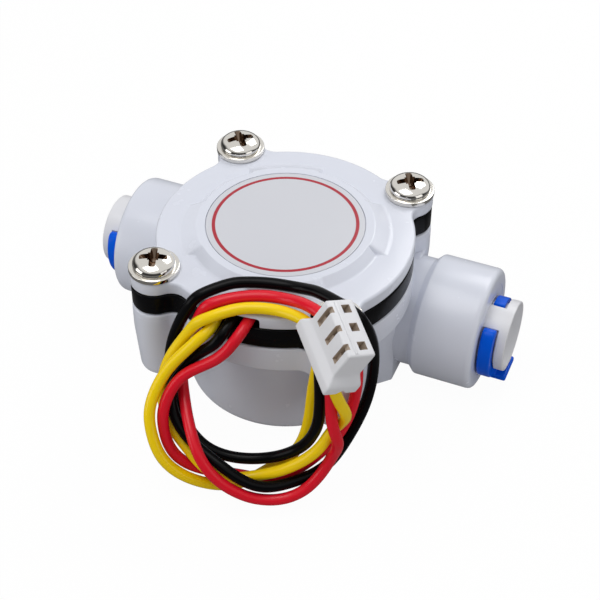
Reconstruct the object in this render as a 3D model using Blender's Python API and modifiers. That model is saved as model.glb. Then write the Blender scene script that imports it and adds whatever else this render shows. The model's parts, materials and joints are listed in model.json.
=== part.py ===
"""Water flow sensor with two push-fit ports, a turbine wheel and a three-wire lead.

X runs along the two ports, +Y points away from the wire exit and Z is up. The origin is
on the wheel's axis, at the flat bottom of the cup. Sizes below are in millimetres.
"""

import math

import bmesh
import bpy
import numpy as np
from mathutils import Matrix, Vector

MM = 0.001
SEAT_GAP = 0.1
FIT_GAP = 0.15
RUNNING_GAP = 0.3

# Stack of the body, from the floor up
CUP_HEIGHT = 14.8
FLANGE_THICKNESS = 3.9
PLATE_THICKNESS = 3.1
CAP_SKIRT_HEIGHT = 2.0
PLATFORM_HEIGHT = 1.15

# Round outline with four screw lobes
BODY_RADIUS = 17.0
LOBE_RADIUS = 3.2
LOBE_BLEND_RADIUS = 2.2
SCREW_SPACING_X = 2 * (BODY_RADIUS - 4.55)
SCREW_SPACING_Y = 2 * (BODY_RADIUS - 3.55)

# Cup and turbine chamber
CUP_RADIUS = BODY_RADIUS - 3.0
CUP_EDGE_RADIUS = 1.6
CUP_DRAFT = 0.35
CHAMBER_RADIUS = CUP_RADIUS - 1.7
CHAMBER_FLOOR = 2.0
PIVOT_RADIUS = 1.8
PIVOT_HEIGHT = 0.8
COLUMN_BOTTOM = 8.2
COLUMN_DRAFT = 0.45
COLUMN_RADIUS = 3.05
COLUMN_TIP_RADIUS = 1.4
CHAMBER_SEAL_RADIUS = BODY_RADIUS - 2.5
CHAMBER_SEAL_SECTION = 1.5
SEAL_SQUEEZE_GAP = 0.1

# Tube, collet and cartridge, each one outside the last
TUBE_RADIUS = 3.175
COLLET_WALL = 0.875
COLLET_NECK_RADIUS = TUBE_RADIUS + FIT_GAP + COLLET_WALL
COLLET_FLANGE_RADIUS = COLLET_NECK_RADIUS + 0.7
COLLET_FLANGE_THICKNESS = 1.7
COLLET_REACH = 3.5
COLLET_BARB_RADIUS = COLLET_NECK_RADIUS + 0.55
COLLET_SLOT_WIDTH = 0.8
COLLET_SLOT_LENGTH = 3.2
COLLET_POCKET_LENGTH = 2.4
CARTRIDGE_WALL = 1.5
CARTRIDGE_RADIUS = COLLET_BARB_RADIUS + FIT_GAP + CARTRIDGE_WALL
CARTRIDGE_DEPTH = 6.4
TUBE_SEAL_SECTION = 1.8
GRAB_RING_THICKNESS = 0.25
GRAB_RING_TEETH = 8

# Ports
SOCKET_WALL = 2.0
SOCKET_RADIUS = CARTRIDGE_RADIUS + SEAT_GAP + SOCKET_WALL
SOCKET_LENGTH = 8.2
SOCKET_CHAMFER = 0.9
SOCKET_EDGE_RADIUS = 0.9
NECK_RADIUS = SOCKET_RADIUS - SOCKET_CHAMFER
FLOW_BORE_RADIUS = 2.5
PORT_OFFSET_Y = BODY_RADIUS - SOCKET_RADIUS - 0.7
PORT_AXIS_Z = SOCKET_RADIUS + SEAT_GAP
PORT_FACE_X = BODY_RADIUS + 9.6
TUBE_STOP_X = CHAMBER_RADIUS + 1.1
ROOT_FRONT = 9.0
ROOT_HALF_WIDTH = BODY_RADIUS - 1.4
ROOT_CHAMFER = 1.6
ROOT_BOTTOM = 1.4
WEB_WIDTH = 3.0
WEB_BOTTOM = 9.6

# Locking clips: a horseshoe in the collet's groove and the plate that a finger pulls
CLIP_THICKNESS = 1.5
CLIP_WIDTH = 1.9
CLIP_WRAP = 44.0
CLIP_TAB_REACH = 1.0
CLIP_TAB_THICKNESS = 1.1
CLIP_TAB_WIDTH = 4.6
CLIP_TAB_DROP = 0.45

# Turbine wheel
WHEEL_BLADES = 8
WHEEL_RADIUS = CHAMBER_RADIUS - 1.3
WHEEL_BLADE_THICKNESS = 1.0
WHEEL_BLADE_RISE = 1.1
HUB_RADIUS = 2.3
SHAFT_RADIUS = 0.75
MAGNET_RADIUS = 5.0
MAGNET_HEIGHT = 3.0
MAGNET_TOP_GAP = 1.2
MAGNET_DISC_THICKNESS = 0.9

# Sealing plate and electronics bay
SPIGOT_DEPTH = 0.8
SPIGOT_WALL = 0.9
PLATE_HUB_DEPTH = 1.2
BAY_RADIUS = BODY_RADIUS - 5.8
BAY_MEMBRANE = 1.1
BAY_CEILING = 1.2
BOARD_WIDTH = 1.34 * BAY_RADIUS
BOARD_LENGTH = 1.38 * BAY_RADIUS
BOARD_THICKNESS = 0.8
BOARD_STANDOFF = 0.4
BOARD_POST_RADIUS = 1.2
BOARD_POST_INSET = 1.9
BOARD_POST_REAR_Y = 0.52 * BOARD_LENGTH / 2
BOARD_POSTS = (
    (BOARD_POST_INSET - BOARD_WIDTH / 2, BOARD_POST_REAR_Y),
    (BOARD_WIDTH / 2 - BOARD_POST_INSET, BOARD_POST_REAR_Y),
    (0.0, -BOARD_POST_REAR_Y),
)
HALL_SIZE = (4.0, 3.0, 0.75)
CHIP_SIZE = (2.0, 1.25, 0.6)

# Cap relief and label
LABEL_RADIUS = BODY_RADIUS - 6.6
LABEL_THICKNESS = 0.15
LABEL_RECESS = 0.25
PLATFORM_RADIUS = LABEL_RADIUS + 1.3
PLATFORM_STEP_OUTER = PLATFORM_RADIUS + 2.4
PLATFORM_STEP_INNER = PLATFORM_RADIUS + 1.2
WIRE_SLOT_WIDTH = 7.0
WIRE_SLOT_HEIGHT = 1.65

# Screws
SCREW_SHANK_RADIUS = 1.45
SCREW_LENGTH = 12.0
SCREW_HEAD_RADIUS = 2.75
SCREW_HEAD_HEIGHT = 1.9
SCREW_RECESS_WIDTH = 0.75
SCREW_RECESS_SPAN = 3.3
SCREW_RECESS_DEPTH = 1.0
SCREW_HOLE_RADIUS = 1.65
SCREW_TURNS = {"front_left": 20, "front_right": 5, "rear_left": 40, "rear_right": 30}
WASHER_RADIUS = 3.25
WASHER_THICKNESS = 0.45

# Wires: diameter, how close two strands may lie, and the points that each route runs through.
# A route starts on the circuit board, leaves through the cap's slot, runs once and a half
# round the loose loop in front of the body and ends in its way of the connector.
WIRE_RADIUS = 0.75
WIRE_SPACING = 1.74
WIRE_STANDOFF = 0.96
WIRE_SAMPLE = 0.8
WIRE_EXIT_Y = -17.2
WIRE_HELD_START = 20
WIRE_HELD_END = 4
WIRE_OWN_REACH = 7
SETTLE_ROUNDS = 220
YELLOW_ROUTE = (
    (-1.95, -6.6, 22.1), (-1.95, -11.3, 22.8), (-1.95, -15.5, 22.8), (-1.95, -18.2, 22.8),
    (-2.3, -20.0, 22.2), (-4.2, -20.9, 19.6), (-6.3, -22.1, 17.4), (-7.6, -24.1, 14.5),
    (-7.7, -25.9, 11.7), (-6.9, -27.1, 8.7), (-4.7, -27.2, 5.0), (-0.7, -26.2, 2.1),
    (3.9, -24.2, 1.6), (7.6, -22.1, 3.4), (10.3, -20.0, 6.6), (11.0, -18.7, 10.7),
    (11.1, -18.1, 15.3), (11.9, -18.3, 20.7), (12.3, -18.3, 25.0), (10.4, -17.3, 26.7),
    (6.3, -15.6, 25.4), (2.6, -15.9, 25.1), (-0.6, -17.8, 24.8), (-3.8, -18.6, 22.0),
    (-6.2, -19.7, 18.8), (-7.7, -20.8, 15.8), (-7.8, -22.1, 12.0), (-6.5, -23.7, 8.9),
    (-4.1, -25.2, 6.0), (-0.4, -26.1, 3.5), (4.1, -25.2, 3.3), (8.4, -23.8, 4.8),
    (11.9, -22.6, 7.5), (14.7, -21.7, 11.5), (16.7, -21.7, 16.3), (16.0, -23.4, 22.6),
    (16.2, -24.1, 24.7), (16.7, -24.3, 26.3), (17.2, -24.3, 27.4),
)
BLACK_ROUTE = (
    (0.0, -6.6, 22.1), (0.0, -11.3, 22.8), (0.0, -15.5, 22.8), (0.0, -18.2, 22.8),
    (-0.4, -20.0, 22.0), (-2.9, -20.5, 18.4), (-6.0, -20.9, 15.0), (-6.9, -22.6, 12.6),
    (-6.1, -24.0, 10.6), (-3.6, -25.0, 9.1), (-0.6, -26.4, 7.4), (2.9, -27.0, 5.7),
    (7.1, -26.3, 3.8), (10.8, -23.8, 3.4), (13.8, -20.1, 4.7), (15.7, -16.4, 7.7),
    (17.0, -13.9, 12.1), (17.1, -12.3, 16.8), (16.9, -13.3, 22.9), (15.3, -15.2, 27.8),
    (11.7, -14.0, 27.9), (7.0, -11.9, 26.0), (2.9, -12.5, 26.0), (-0.8, -13.8, 25.7),
    (-4.0, -15.9, 24.7), (-6.4, -17.5, 21.8), (-7.7, -18.5, 18.4), (-8.2, -19.1, 14.5),
    (-7.6, -20.6, 11.2), (-6.0, -22.3, 9.1), (-3.7, -23.8, 7.0), (-0.4, -24.0, 5.2),
    (3.8, -23.0, 4.6), (8.2, -21.7, 5.6), (11.4, -21.2, 8.5), (13.4, -21.4, 13.3),
    (12.7, -19.9, 24.1), (12.9, -20.6, 26.2), (13.4, -20.9, 27.8), (13.9, -20.9, 28.9),
)
RED_ROUTE = (
    (1.95, -6.6, 22.1), (1.95, -11.3, 22.8), (1.95, -15.5, 22.8), (1.95, -18.2, 22.8),
    (1.5, -20.0, 22.1), (-1.4, -20.5, 19.2), (-4.1, -21.3, 17.0), (-5.7, -23.3, 14.8),
    (-6.6, -24.9, 11.5), (-5.9, -26.1, 7.8), (-3.7, -26.5, 4.3), (-0.1, -25.5, 2.7),
    (4.3, -23.8, 2.2), (8.9, -22.2, 2.9), (12.7, -19.8, 5.3), (15.0, -17.4, 9.2),
    (16.0, -15.9, 13.7), (16.2, -15.7, 18.6), (15.8, -16.5, 23.0), (14.4, -17.6, 26.9),
    (11.3, -16.9, 28.1), (6.6, -14.3, 25.9), (2.4, -14.5, 25.5), (-1.0, -16.3, 24.9),
    (-3.8, -17.4, 22.2), (-5.8, -18.1, 18.2), (-6.5, -19.5, 14.4), (-5.3, -21.9, 12.0),
    (-3.3, -24.7, 9.9), (-0.6, -26.9, 7.8), (2.7, -27.7, 5.0), (7.1, -27.0, 2.6),
    (11.1, -24.7, 2.7), (14.0, -22.4, 5.2), (15.4, -21.2, 9.7), (15.9, -21.7, 14.9),
    (14.4, -21.6, 23.3), (14.6, -22.4, 25.4), (15.0, -22.6, 27.1), (15.6, -22.6, 28.1),
)

# Connector housing: a block with one row of three ways on a wider foot
WAY_PITCH = 2.5
CONNECTOR_END_WALL = 1.35
CONNECTOR_DEPTH = 3.7
CONNECTOR_LENGTH = 6.8
CONNECTOR_BLOCK_LENGTH = 4.4
CONNECTOR_FOOT_RISE = 1.1
CONNECTOR_FOOT_FRONT = 0.5
CONNECTOR_FOOT_BACK = 0.35
CONNECTOR_FOOT_END = 0.95
CONNECTOR_CHAMFER = 0.3
CONNECTOR_NOTCH = 0.9
CONNECTOR_CAVITY = 1.85
CONNECTOR_CAVITY_DEPTH = 1.3
CONNECTOR_ENTRY = 1.1
CONNECTOR_SLOT_WIDTH = 0.8
CONNECTOR_SLOT_DEPTH = 0.55
CONNECTOR_SLOT_LENGTH = 3.0
WAY_DEPTH = 1.4
TERMINAL_SIZE = 1.25
TERMINAL_LENGTH = 3.6
CONNECTOR_CORNER = (21.3, -24.15, 31.35)
CONNECTOR_ROW = (0.651, -0.695, -0.301)
CONNECTOR_REAR = (-0.429, -0.034, -0.903)

# Heights that follow from the stack
FLANGE_TOP = CUP_HEIGHT + FLANGE_THICKNESS
PLATE_BOTTOM = FLANGE_TOP + SEAT_GAP
PLATE_TOP = PLATE_BOTTOM + PLATE_THICKNESS
CAP_BOTTOM = PLATE_TOP + SEAT_GAP
CAP_RIM = CAP_BOTTOM + CAP_SKIRT_HEIGHT
CAP_TOP = CAP_RIM + PLATFORM_HEIGHT
BAY_FLOOR = PLATE_BOTTOM + BAY_MEMBRANE
PLATE_HUB_BOTTOM = PLATE_BOTTOM - PLATE_HUB_DEPTH
SCREW_TIP = CAP_RIM + 2 * SEAT_GAP + WASHER_THICKNESS - SCREW_LENGTH

ROUND_STEPS = 40
SMALL_STEPS = 20
PORT_STEPS = 24
WIRE_STEP_LENGTH = 2.6
RIDGE_ANGLE = 30.0


def collection(name):
    """A new collection of the scene."""
    made = bpy.data.collections.new(name)
    bpy.context.scene.collection.children.link(made)
    return made


def clear_scene():
    """Empties the startup scene."""
    for obj in list(bpy.data.objects):
        bpy.data.objects.remove(obj, do_unlink=True)


clear_scene()
PARTS = collection("water_flow_sensor")
HELPERS = collection("water_flow_sensor_cutters")


def material(name, colour, roughness, metallic=0.0, coat=0.0):
    """A Principled material of one colour."""
    made = bpy.data.materials.new(name)
    made.use_nodes = True
    shader = made.node_tree.nodes["Principled BSDF"]
    shader.inputs["Base Color"].default_value = (*colour, 1.0)
    shader.inputs["Roughness"].default_value = roughness
    shader.inputs["Metallic"].default_value = metallic
    shader.inputs["Coat Weight"].default_value = coat
    return made


WHITE = material("white_acetal", (0.80, 0.81, 0.83), 0.32)
PALE = material("white_nylon", (0.82, 0.81, 0.77), 0.40)
BLACK = material("black_acetal", (0.015, 0.015, 0.017), 0.38)
LABEL_FILM = material("label_film", (0.86, 0.86, 0.87), 0.22, coat=0.4)
BLUE = material("blue_acetal", (0.02, 0.16, 0.75), 0.30)
RUBBER = material("nitrile_rubber", (0.02, 0.02, 0.02), 0.65)
STEEL = material("nickel_plated_steel", (0.66, 0.64, 0.60), 0.24, 1.0)
STAINLESS = material("stainless_steel", (0.62, 0.62, 0.63), 0.28, 1.0)
TIN = material("tinned_brass", (0.70, 0.70, 0.68), 0.35, 1.0)
MAGNET = material("ferrite_magnet", (0.05, 0.05, 0.055), 0.55)
BOARD = material("circuit_board", (0.02, 0.20, 0.07), 0.45)
EPOXY = material("epoxy_package", (0.02, 0.02, 0.02), 0.5)
CERAMIC = material("chip_ceramic", (0.50, 0.38, 0.24), 0.5)
WIRE_RED = material("wire_red", (0.72, 0.01, 0.02), 0.35)
WIRE_BLACK = material("wire_black", (0.008, 0.008, 0.010), 0.35)
WIRE_YELLOW = material("wire_yellow", (0.90, 0.62, 0.01), 0.35)


def place(name, mesh, matrix=None):
    """An object of this mesh, filed with the helpers until it becomes a part."""
    obj = bpy.data.objects.new(name, mesh)
    obj.matrix_world = matrix or Matrix.Identity(4)
    obj.hide_render = True
    obj.display_type = "WIRE"
    HELPERS.objects.link(obj)
    return obj


def at(x, y, z):
    """A move to a point given in millimetres."""
    return Matrix.Translation(Vector((x, y, z)) * MM)


def along_x(side, y, z):
    """A turned shape's axis laid along +X or -X, through (y, z)."""
    return at(0, y, z) @ Matrix.Rotation(side * math.pi / 2, 4, "Y")


def make_part(obj, name, finish, smooth=True):
    """Turns a finished helper into a part."""
    HELPERS.objects.unlink(obj)
    PARTS.objects.link(obj)
    obj.name = name
    obj.hide_render = False
    obj.display_type = "TEXTURED"
    obj.data.materials.clear()
    obj.data.materials.append(finish)
    if smooth and obj.data.polygons:
        obj.data.shade_smooth()
        obj.data.set_sharp_from_angle(angle=math.radians(RIDGE_ANGLE))
    return obj


def combine(obj, operation, others):
    """One exact Boolean with each of the other objects."""
    for other in others:
        boolean = obj.modifiers.new(f"{operation.lower()}_{other.name}", "BOOLEAN")
        boolean.operation = operation
        boolean.solver = "EXACT"
        boolean.object = other
    return obj


def join(obj, *others):
    """Adds solids to an object."""
    return combine(obj, "UNION", others)


def cut(obj, *others):
    """Takes solids away from an object."""
    return combine(obj, "DIFFERENCE", others)


def turned(name, profile, matrix=None, steps=ROUND_STEPS, closed=False):
    """A profile of (radius, height) points turned about local Z.

    The profile runs down the outer side from top to bottom; a closed one goes on up the bore.
    """
    mesh = bpy.data.meshes.new(name)
    points = [(radius * MM, 0.0, height * MM) for radius, height in profile]
    edges = [(i, i + 1) for i in range(len(points) - 1)]
    if closed:
        edges.append((len(points) - 1, 0))
    mesh.from_pydata(points, edges, [])
    obj = place(name, mesh, matrix)
    screw = obj.modifiers.new("turn", "SCREW")
    screw.steps = steps
    screw.render_steps = steps
    screw.use_merge_vertices = True
    screw.merge_threshold = 1e-5
    screw.use_smooth_shade = True
    return obj


def rod(name, radius, low, high, x=0.0, y=0.0, steps=SMALL_STEPS):
    """An upright cylinder between two heights."""
    mesh = bpy.data.meshes.new(name)
    shape = bmesh.new()
    bmesh.ops.create_cone(
        shape,
        cap_ends=True,
        segments=steps,
        radius1=radius * MM,
        radius2=radius * MM,
        depth=(high - low) * MM,
        matrix=at(x, y, (low + high) / 2),
    )
    shape.to_mesh(mesh)
    shape.free()
    return place(name, mesh)


def box(name, low, high, matrix=None, chamfer=0.0, vertical_only=False):
    """A box between two corners, its edges chamfered if asked."""
    low, high = Vector(low), Vector(high)
    mesh = bpy.data.meshes.new(name)
    shape = bmesh.new()
    middle = Matrix.Translation((low + high) / 2 * MM)
    bmesh.ops.create_cube(shape, size=1.0, matrix=middle @ Matrix.Diagonal((*((high - low) * MM), 1.0)))
    if chamfer:
        edges = [
            edge
            for edge in shape.edges
            if not vertical_only or abs((edge.verts[0].co - edge.verts[1].co).z) > 1e-6
        ]
        bmesh.ops.bevel(shape, geom=edges, offset=chamfer * MM, segments=1, affect="EDGES")
    shape.to_mesh(mesh)
    shape.free()
    return place(name, mesh, matrix)


def arc(centre, radius, start, end, steps):
    """Points of an arc about a centre, both ends included; angles in radians."""
    return [
        (centre[0] + radius * math.cos(a), centre[1] + radius * math.sin(a))
        for a in np.linspace(start, end, steps + 1)
    ]


def prism(name, outline, low, high, matrix=None, bevel=0.0):
    """A flat outline made solid between two heights along local Z."""
    data = bpy.data.curves.new(name, "CURVE")
    data.dimensions = "2D"
    data.fill_mode = "BOTH"
    data.extrude = (high - low) / 2 * MM - bevel * MM
    data.bevel_depth = bevel * MM
    data.bevel_resolution = 1
    data.offset = -bevel * MM
    line = data.splines.new("POLY")
    line.points.add(len(outline) - 1)
    for point, (x, y) in zip(line.points, outline):
        point.co = (x * MM, y * MM, 0.0, 1.0)
    line.use_cyclic_u = True
    matrix = (matrix or Matrix.Identity(4)) @ at(0, 0, (low + high) / 2)
    return mesh_from(place(name, data, matrix))


def loft(name, rings, matrix=None):
    """A closed solid through rings of equally many points, counterclockwise from above, top ring first."""
    count = len(rings[0])
    shape = bmesh.new()
    levels = [[shape.verts.new(Vector(point) * MM) for point in ring] for ring in rings]
    shape.faces.new(levels[0])
    shape.faces.new(levels[-1][::-1])
    for upper, lower in zip(levels, levels[1:]):
        for i in range(count):
            j = (i + 1) % count
            shape.faces.new((upper[i], lower[i], lower[j], upper[j]))
    mesh = bpy.data.meshes.new(name)
    shape.to_mesh(mesh)
    shape.free()
    return place(name, mesh, matrix)


def mesh_from(curve):
    """The mesh object of a curve object, its caps welded on."""
    bpy.context.view_layer.update()
    graph = bpy.context.evaluated_depsgraph_get()
    mesh = bpy.data.meshes.new_from_object(curve.evaluated_get(graph))
    matrix = curve.matrix_world.copy()
    name = curve.name
    bpy.data.objects.remove(curve, do_unlink=True)
    shape = bmesh.new()
    shape.from_mesh(mesh)
    bmesh.ops.remove_doubles(shape, verts=shape.verts, dist=1e-6)
    bmesh.ops.recalc_face_normals(shape, faces=shape.faces)
    shape.to_mesh(mesh)
    shape.free()
    return place(name, mesh, matrix)


SCREW_PLACES = {
    "front_left": (-SCREW_SPACING_X / 2, -SCREW_SPACING_Y / 2),
    "front_right": (SCREW_SPACING_X / 2, -SCREW_SPACING_Y / 2),
    "rear_left": (-SCREW_SPACING_X / 2, SCREW_SPACING_Y / 2),
    "rear_right": (SCREW_SPACING_X / 2, SCREW_SPACING_Y / 2),
}


def lobed_outline():
    """The round body outline with a filleted lobe about each screw.

    A fillet of radius f touches the body circle R and the lobe circle r. Its centre lies at
    distance R + f from the body's axis and r + f from the lobe's, so the law of cosines gives
    the angle between it and the lobe's direction.
    """
    reach = math.hypot(SCREW_SPACING_X, SCREW_SPACING_Y) / 2
    body, lobe, fillet = BODY_RADIUS, LOBE_RADIUS, LOBE_BLEND_RADIUS
    cosine = ((body + fillet) ** 2 + reach**2 - (lobe + fillet) ** 2) / (2 * (body + fillet) * reach)
    alpha = math.acos(cosine)
    lobes = sorted(math.atan2(y, x) % (2 * math.pi) for x, y in SCREW_PLACES.values())
    outline = []
    for i, theta in enumerate(lobes):
        middle = (reach * math.cos(theta), reach * math.sin(theta))
        fillets = [
            ((body + fillet) * math.cos(a), (body + fillet) * math.sin(a))
            for a in (theta - alpha, theta + alpha)
        ]
        toward = [math.atan2(middle[1] - f[1], middle[0] - f[0]) for f in fillets]
        start = theta - alpha + math.pi
        turn = (toward[0] - start + math.pi) % (2 * math.pi) - math.pi
        outline += arc(fillets[0], fillet, start, start + turn, 2)
        first = toward[0] + math.pi
        sweep = (toward[1] + math.pi - first) % (2 * math.pi)
        outline += arc(middle, lobe, first, first + sweep, 8)[1:-1]
        start = toward[1]
        turn = (theta + alpha + math.pi - start + math.pi) % (2 * math.pi) - math.pi
        outline += arc(fillets[1], fillet, start, start + turn, 2)
        following = lobes[(i + 1) % 4] + (2 * math.pi if i == 3 else 0)
        outline += arc((0, 0), body, theta + alpha, following - alpha, 9)[1:-1]
    return outline


def screw_holes(low, high):
    """One clearance hole for each screw."""
    return [rod(f"screw_hole_{place_name}", SCREW_HOLE_RADIUS, low, high, x, y, 16)
            for place_name, (x, y) in SCREW_PLACES.items()]


def port_bore():
    """The bore through both ports: tube socket, seal seat and cartridge seat at each end."""
    end = PORT_FACE_X + 1.0
    seat = PORT_FACE_X - CARTRIDGE_DEPTH - SEAT_GAP
    half = [
        (0.0, end),
        (CARTRIDGE_RADIUS + SEAT_GAP, end),
        (CARTRIDGE_RADIUS + SEAT_GAP, seat),
        (TUBE_RADIUS + TUBE_SEAL_SECTION, seat),
        (TUBE_RADIUS + TUBE_SEAL_SECTION, seat - TUBE_SEAL_SECTION - 0.5),
        (TUBE_RADIUS + FIT_GAP, seat - TUBE_SEAL_SECTION - 0.5),
        (TUBE_RADIUS + FIT_GAP, TUBE_STOP_X),
        (FLOW_BORE_RADIUS, TUBE_STOP_X),
    ]
    mirrored = [(radius, -x) for radius, x in reversed(half)]
    return turned("port_bore", half + mirrored, along_x(1, PORT_OFFSET_Y, PORT_AXIS_Z), 28)


def port_barrel():
    """The outside of both ports, one turned bar through the body."""
    start = PORT_FACE_X - SOCKET_LENGTH
    edge = [
        (
            SOCKET_RADIUS - SOCKET_EDGE_RADIUS * (1 - math.sin(a)),
            PORT_FACE_X - SOCKET_EDGE_RADIUS * (1 - math.cos(a)),
        )
        for a in np.radians((0, 30, 60, 90))
    ]
    half = [(0.0, PORT_FACE_X)] + edge + [
        (SOCKET_RADIUS, start),
        (NECK_RADIUS, start - SOCKET_CHAMFER),
    ]
    mirrored = [(radius, -x) for radius, x in reversed(half)]
    return turned("port_barrel", half + mirrored, along_x(1, PORT_OFFSET_Y, PORT_AXIS_Z), 36)


def column(name, x, y):
    """A screw column with a rounded tip below the flange."""
    bottom_radius = COLUMN_RADIUS - COLUMN_DRAFT
    tip = [
        (
            bottom_radius - COLUMN_TIP_RADIUS * (1 - math.cos(a)),
            COLUMN_BOTTOM + COLUMN_TIP_RADIUS * (1 - math.sin(a)),
        )
        for a in np.radians((0, 30, 60, 90))
    ]
    profile = [(0.0, FLANGE_TOP - 1.0), (COLUMN_RADIUS, FLANGE_TOP - 1.0)] + tip + [(0.0, COLUMN_BOTTOM)]
    return turned(name, profile, at(x, y, 0), SMALL_STEPS)


def make_lower_housing():
    """Cup, flange, ports and screw columns moulded in one piece."""
    foot = CUP_RADIUS - CUP_DRAFT
    edge = [
        (foot - CUP_EDGE_RADIUS * (1 - math.cos(a)), CUP_EDGE_RADIUS * (1 - math.sin(a)))
        for a in np.radians((0, 30, 60, 90))
    ]
    cup = turned("cup", [(0.0, FLANGE_TOP - 1.0), (CUP_RADIUS, FLANGE_TOP - 1.0)] + edge + [(0.0, 0.0)])
    root = box(
        "port_root",
        (-ROOT_HALF_WIDTH, PORT_OFFSET_Y - ROOT_FRONT, ROOT_BOTTOM),
        (ROOT_HALF_WIDTH, SCREW_SPACING_Y / 2, CUP_HEIGHT + 1.0),
        chamfer=ROOT_CHAMFER,
        vertical_only=True,
    )
    housing = prism("flange", lobed_outline(), CUP_HEIGHT, FLANGE_TOP)
    join(housing, cup, port_barrel(), root)
    for name, (x, y) in SCREW_PLACES.items():
        join(housing, column(f"column_{name}", x, y))
        reach = math.hypot(x, y)
        turn = Matrix.Rotation(math.atan2(y, x), 4, "Z")
        inner_end = (CUP_RADIUS - 1.0, -WEB_WIDTH / 2, WEB_BOTTOM)
        outer_end = (reach - 1.0, WEB_WIDTH / 2, CUP_HEIGHT + 1.0)
        join(housing, box(f"web_{name}", inner_end, outer_end, turn))
    pivot_top = CHAMBER_FLOOR + PIVOT_HEIGHT
    shaft_hole = SHAFT_RADIUS + SEAT_GAP
    chamber = turned(
        "chamber",
        [
            (0.0, FLANGE_TOP + 1.0),
            (CHAMBER_RADIUS, FLANGE_TOP + 1.0),
            (CHAMBER_RADIUS, CHAMBER_FLOOR),
            (PIVOT_RADIUS, CHAMBER_FLOOR),
            (PIVOT_RADIUS, pivot_top),
            (shaft_hole, pivot_top),
            (shaft_hole, CHAMBER_FLOOR / 2),
            (0.0, CHAMBER_FLOOR / 2),
        ],
    )
    groove_outer = CHAMBER_SEAL_RADIUS + CHAMBER_SEAL_SECTION / 2 + SEAL_SQUEEZE_GAP
    groove_inner = CHAMBER_SEAL_RADIUS - CHAMBER_SEAL_SECTION / 2 - SEAL_SQUEEZE_GAP
    groove_floor = FLANGE_TOP - CHAMBER_SEAL_SECTION
    groove = turned(
        "seal_groove",
        [
            (groove_outer, FLANGE_TOP + 1.0),
            (groove_outer, groove_floor),
            (groove_inner, groove_floor),
            (groove_inner, FLANGE_TOP + 1.0),
        ],
        closed=True,
    )
    cut(housing, chamber, groove, port_bore(), *screw_holes(SCREW_TIP - 1.0, FLANGE_TOP + 1.0))
    make_part(housing, "lower_housing", WHITE)


def make_sealing_plate():
    """The black middle plate: chamber lid below, electronics bay above."""
    plate = prism("plate", lobed_outline(), PLATE_BOTTOM, PLATE_TOP)
    spigot_bottom = PLATE_BOTTOM - SPIGOT_DEPTH
    outer = CHAMBER_RADIUS - FIT_GAP
    spigot = turned(
        "spigot",
        [
            (outer, PLATE_BOTTOM + 0.5),
            (outer, spigot_bottom),
            (outer - SPIGOT_WALL, spigot_bottom),
            (outer - SPIGOT_WALL, PLATE_BOTTOM + 0.5),
        ],
        closed=True,
    )
    hub = rod("plate_hub", PIVOT_RADIUS, PLATE_HUB_BOTTOM, PLATE_BOTTOM + 0.5)
    bay = rod("bay", BAY_RADIUS, BAY_FLOOR, PLATE_TOP + 1.0, steps=ROUND_STEPS)
    shaft_hole = rod("plate_shaft_hole", SHAFT_RADIUS + SEAT_GAP, PLATE_HUB_BOTTOM - 1.0, PLATE_BOTTOM)
    posts = [
        rod(f"board_post_{i}", BOARD_POST_RADIUS, BAY_FLOOR - 0.3, BAY_FLOOR + BOARD_STANDOFF, x, y, 16)
        for i, (x, y) in enumerate(BOARD_POSTS)
    ]
    join(plate, spigot, hub)
    cut(plate, bay, shaft_hole)
    join(plate, *posts)
    cut(plate, *screw_holes(PLATE_BOTTOM - 1.0, PLATE_TOP + 1.0))
    make_part(plate, "sealing_plate", BLACK)


def make_top_cap():
    """The white lid: lobed skirt, a stepped round platform and the wire slot."""
    cap = prism("cap", lobed_outline(), CAP_BOTTOM, CAP_RIM)
    mesh = bpy.data.meshes.new("platform")
    shape = bmesh.new()
    bmesh.ops.create_cone(
        shape,
        cap_ends=True,
        segments=2 * ROUND_STEPS,
        radius1=1.0,
        radius2=PLATFORM_RADIUS * MM,
        depth=(PLATFORM_HEIGHT + 0.5) * MM,
        matrix=at(0, 0, CAP_TOP - (PLATFORM_HEIGHT + 0.5) / 2),
    )
    for vertex in shape.verts:
        if vertex.co.z < CAP_RIM * MM:
            angle = math.degrees(math.atan2(vertex.co.y, vertex.co.x)) % 90
            radius = PLATFORM_STEP_OUTER if angle < 45 else PLATFORM_STEP_INNER
            vertex.co.xy = vertex.co.xy.normalized() * radius * MM
    shape.to_mesh(mesh)
    shape.free()
    platform = place("platform", mesh)
    recess_floor = CAP_TOP - LABEL_RECESS
    recess = rod("label_recess", LABEL_RADIUS + SEAT_GAP, recess_floor, CAP_TOP + 1.0, steps=ROUND_STEPS)
    bay = rod("cap_bay", BAY_RADIUS, CAP_BOTTOM - 1.0, recess_floor - BAY_CEILING, steps=ROUND_STEPS)
    slot = box(
        "wire_slot",
        (-WIRE_SLOT_WIDTH / 2, -BODY_RADIUS - 1.0, CAP_BOTTOM - 1.0),
        (WIRE_SLOT_WIDTH / 2, -BAY_RADIUS + 1.0, CAP_BOTTOM + WIRE_SLOT_HEIGHT),
    )
    join(cap, platform)
    cut(cap, recess, bay, slot, *screw_holes(CAP_BOTTOM - 1.0, CAP_RIM + 1.0))
    make_part(cap, "top_cap", WHITE)
    low = CAP_TOP - LABEL_RECESS + SEAT_GAP
    make_part(rod("disc", LABEL_RADIUS, low, low + LABEL_THICKNESS, steps=ROUND_STEPS), "label", LABEL_FILM)


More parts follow.
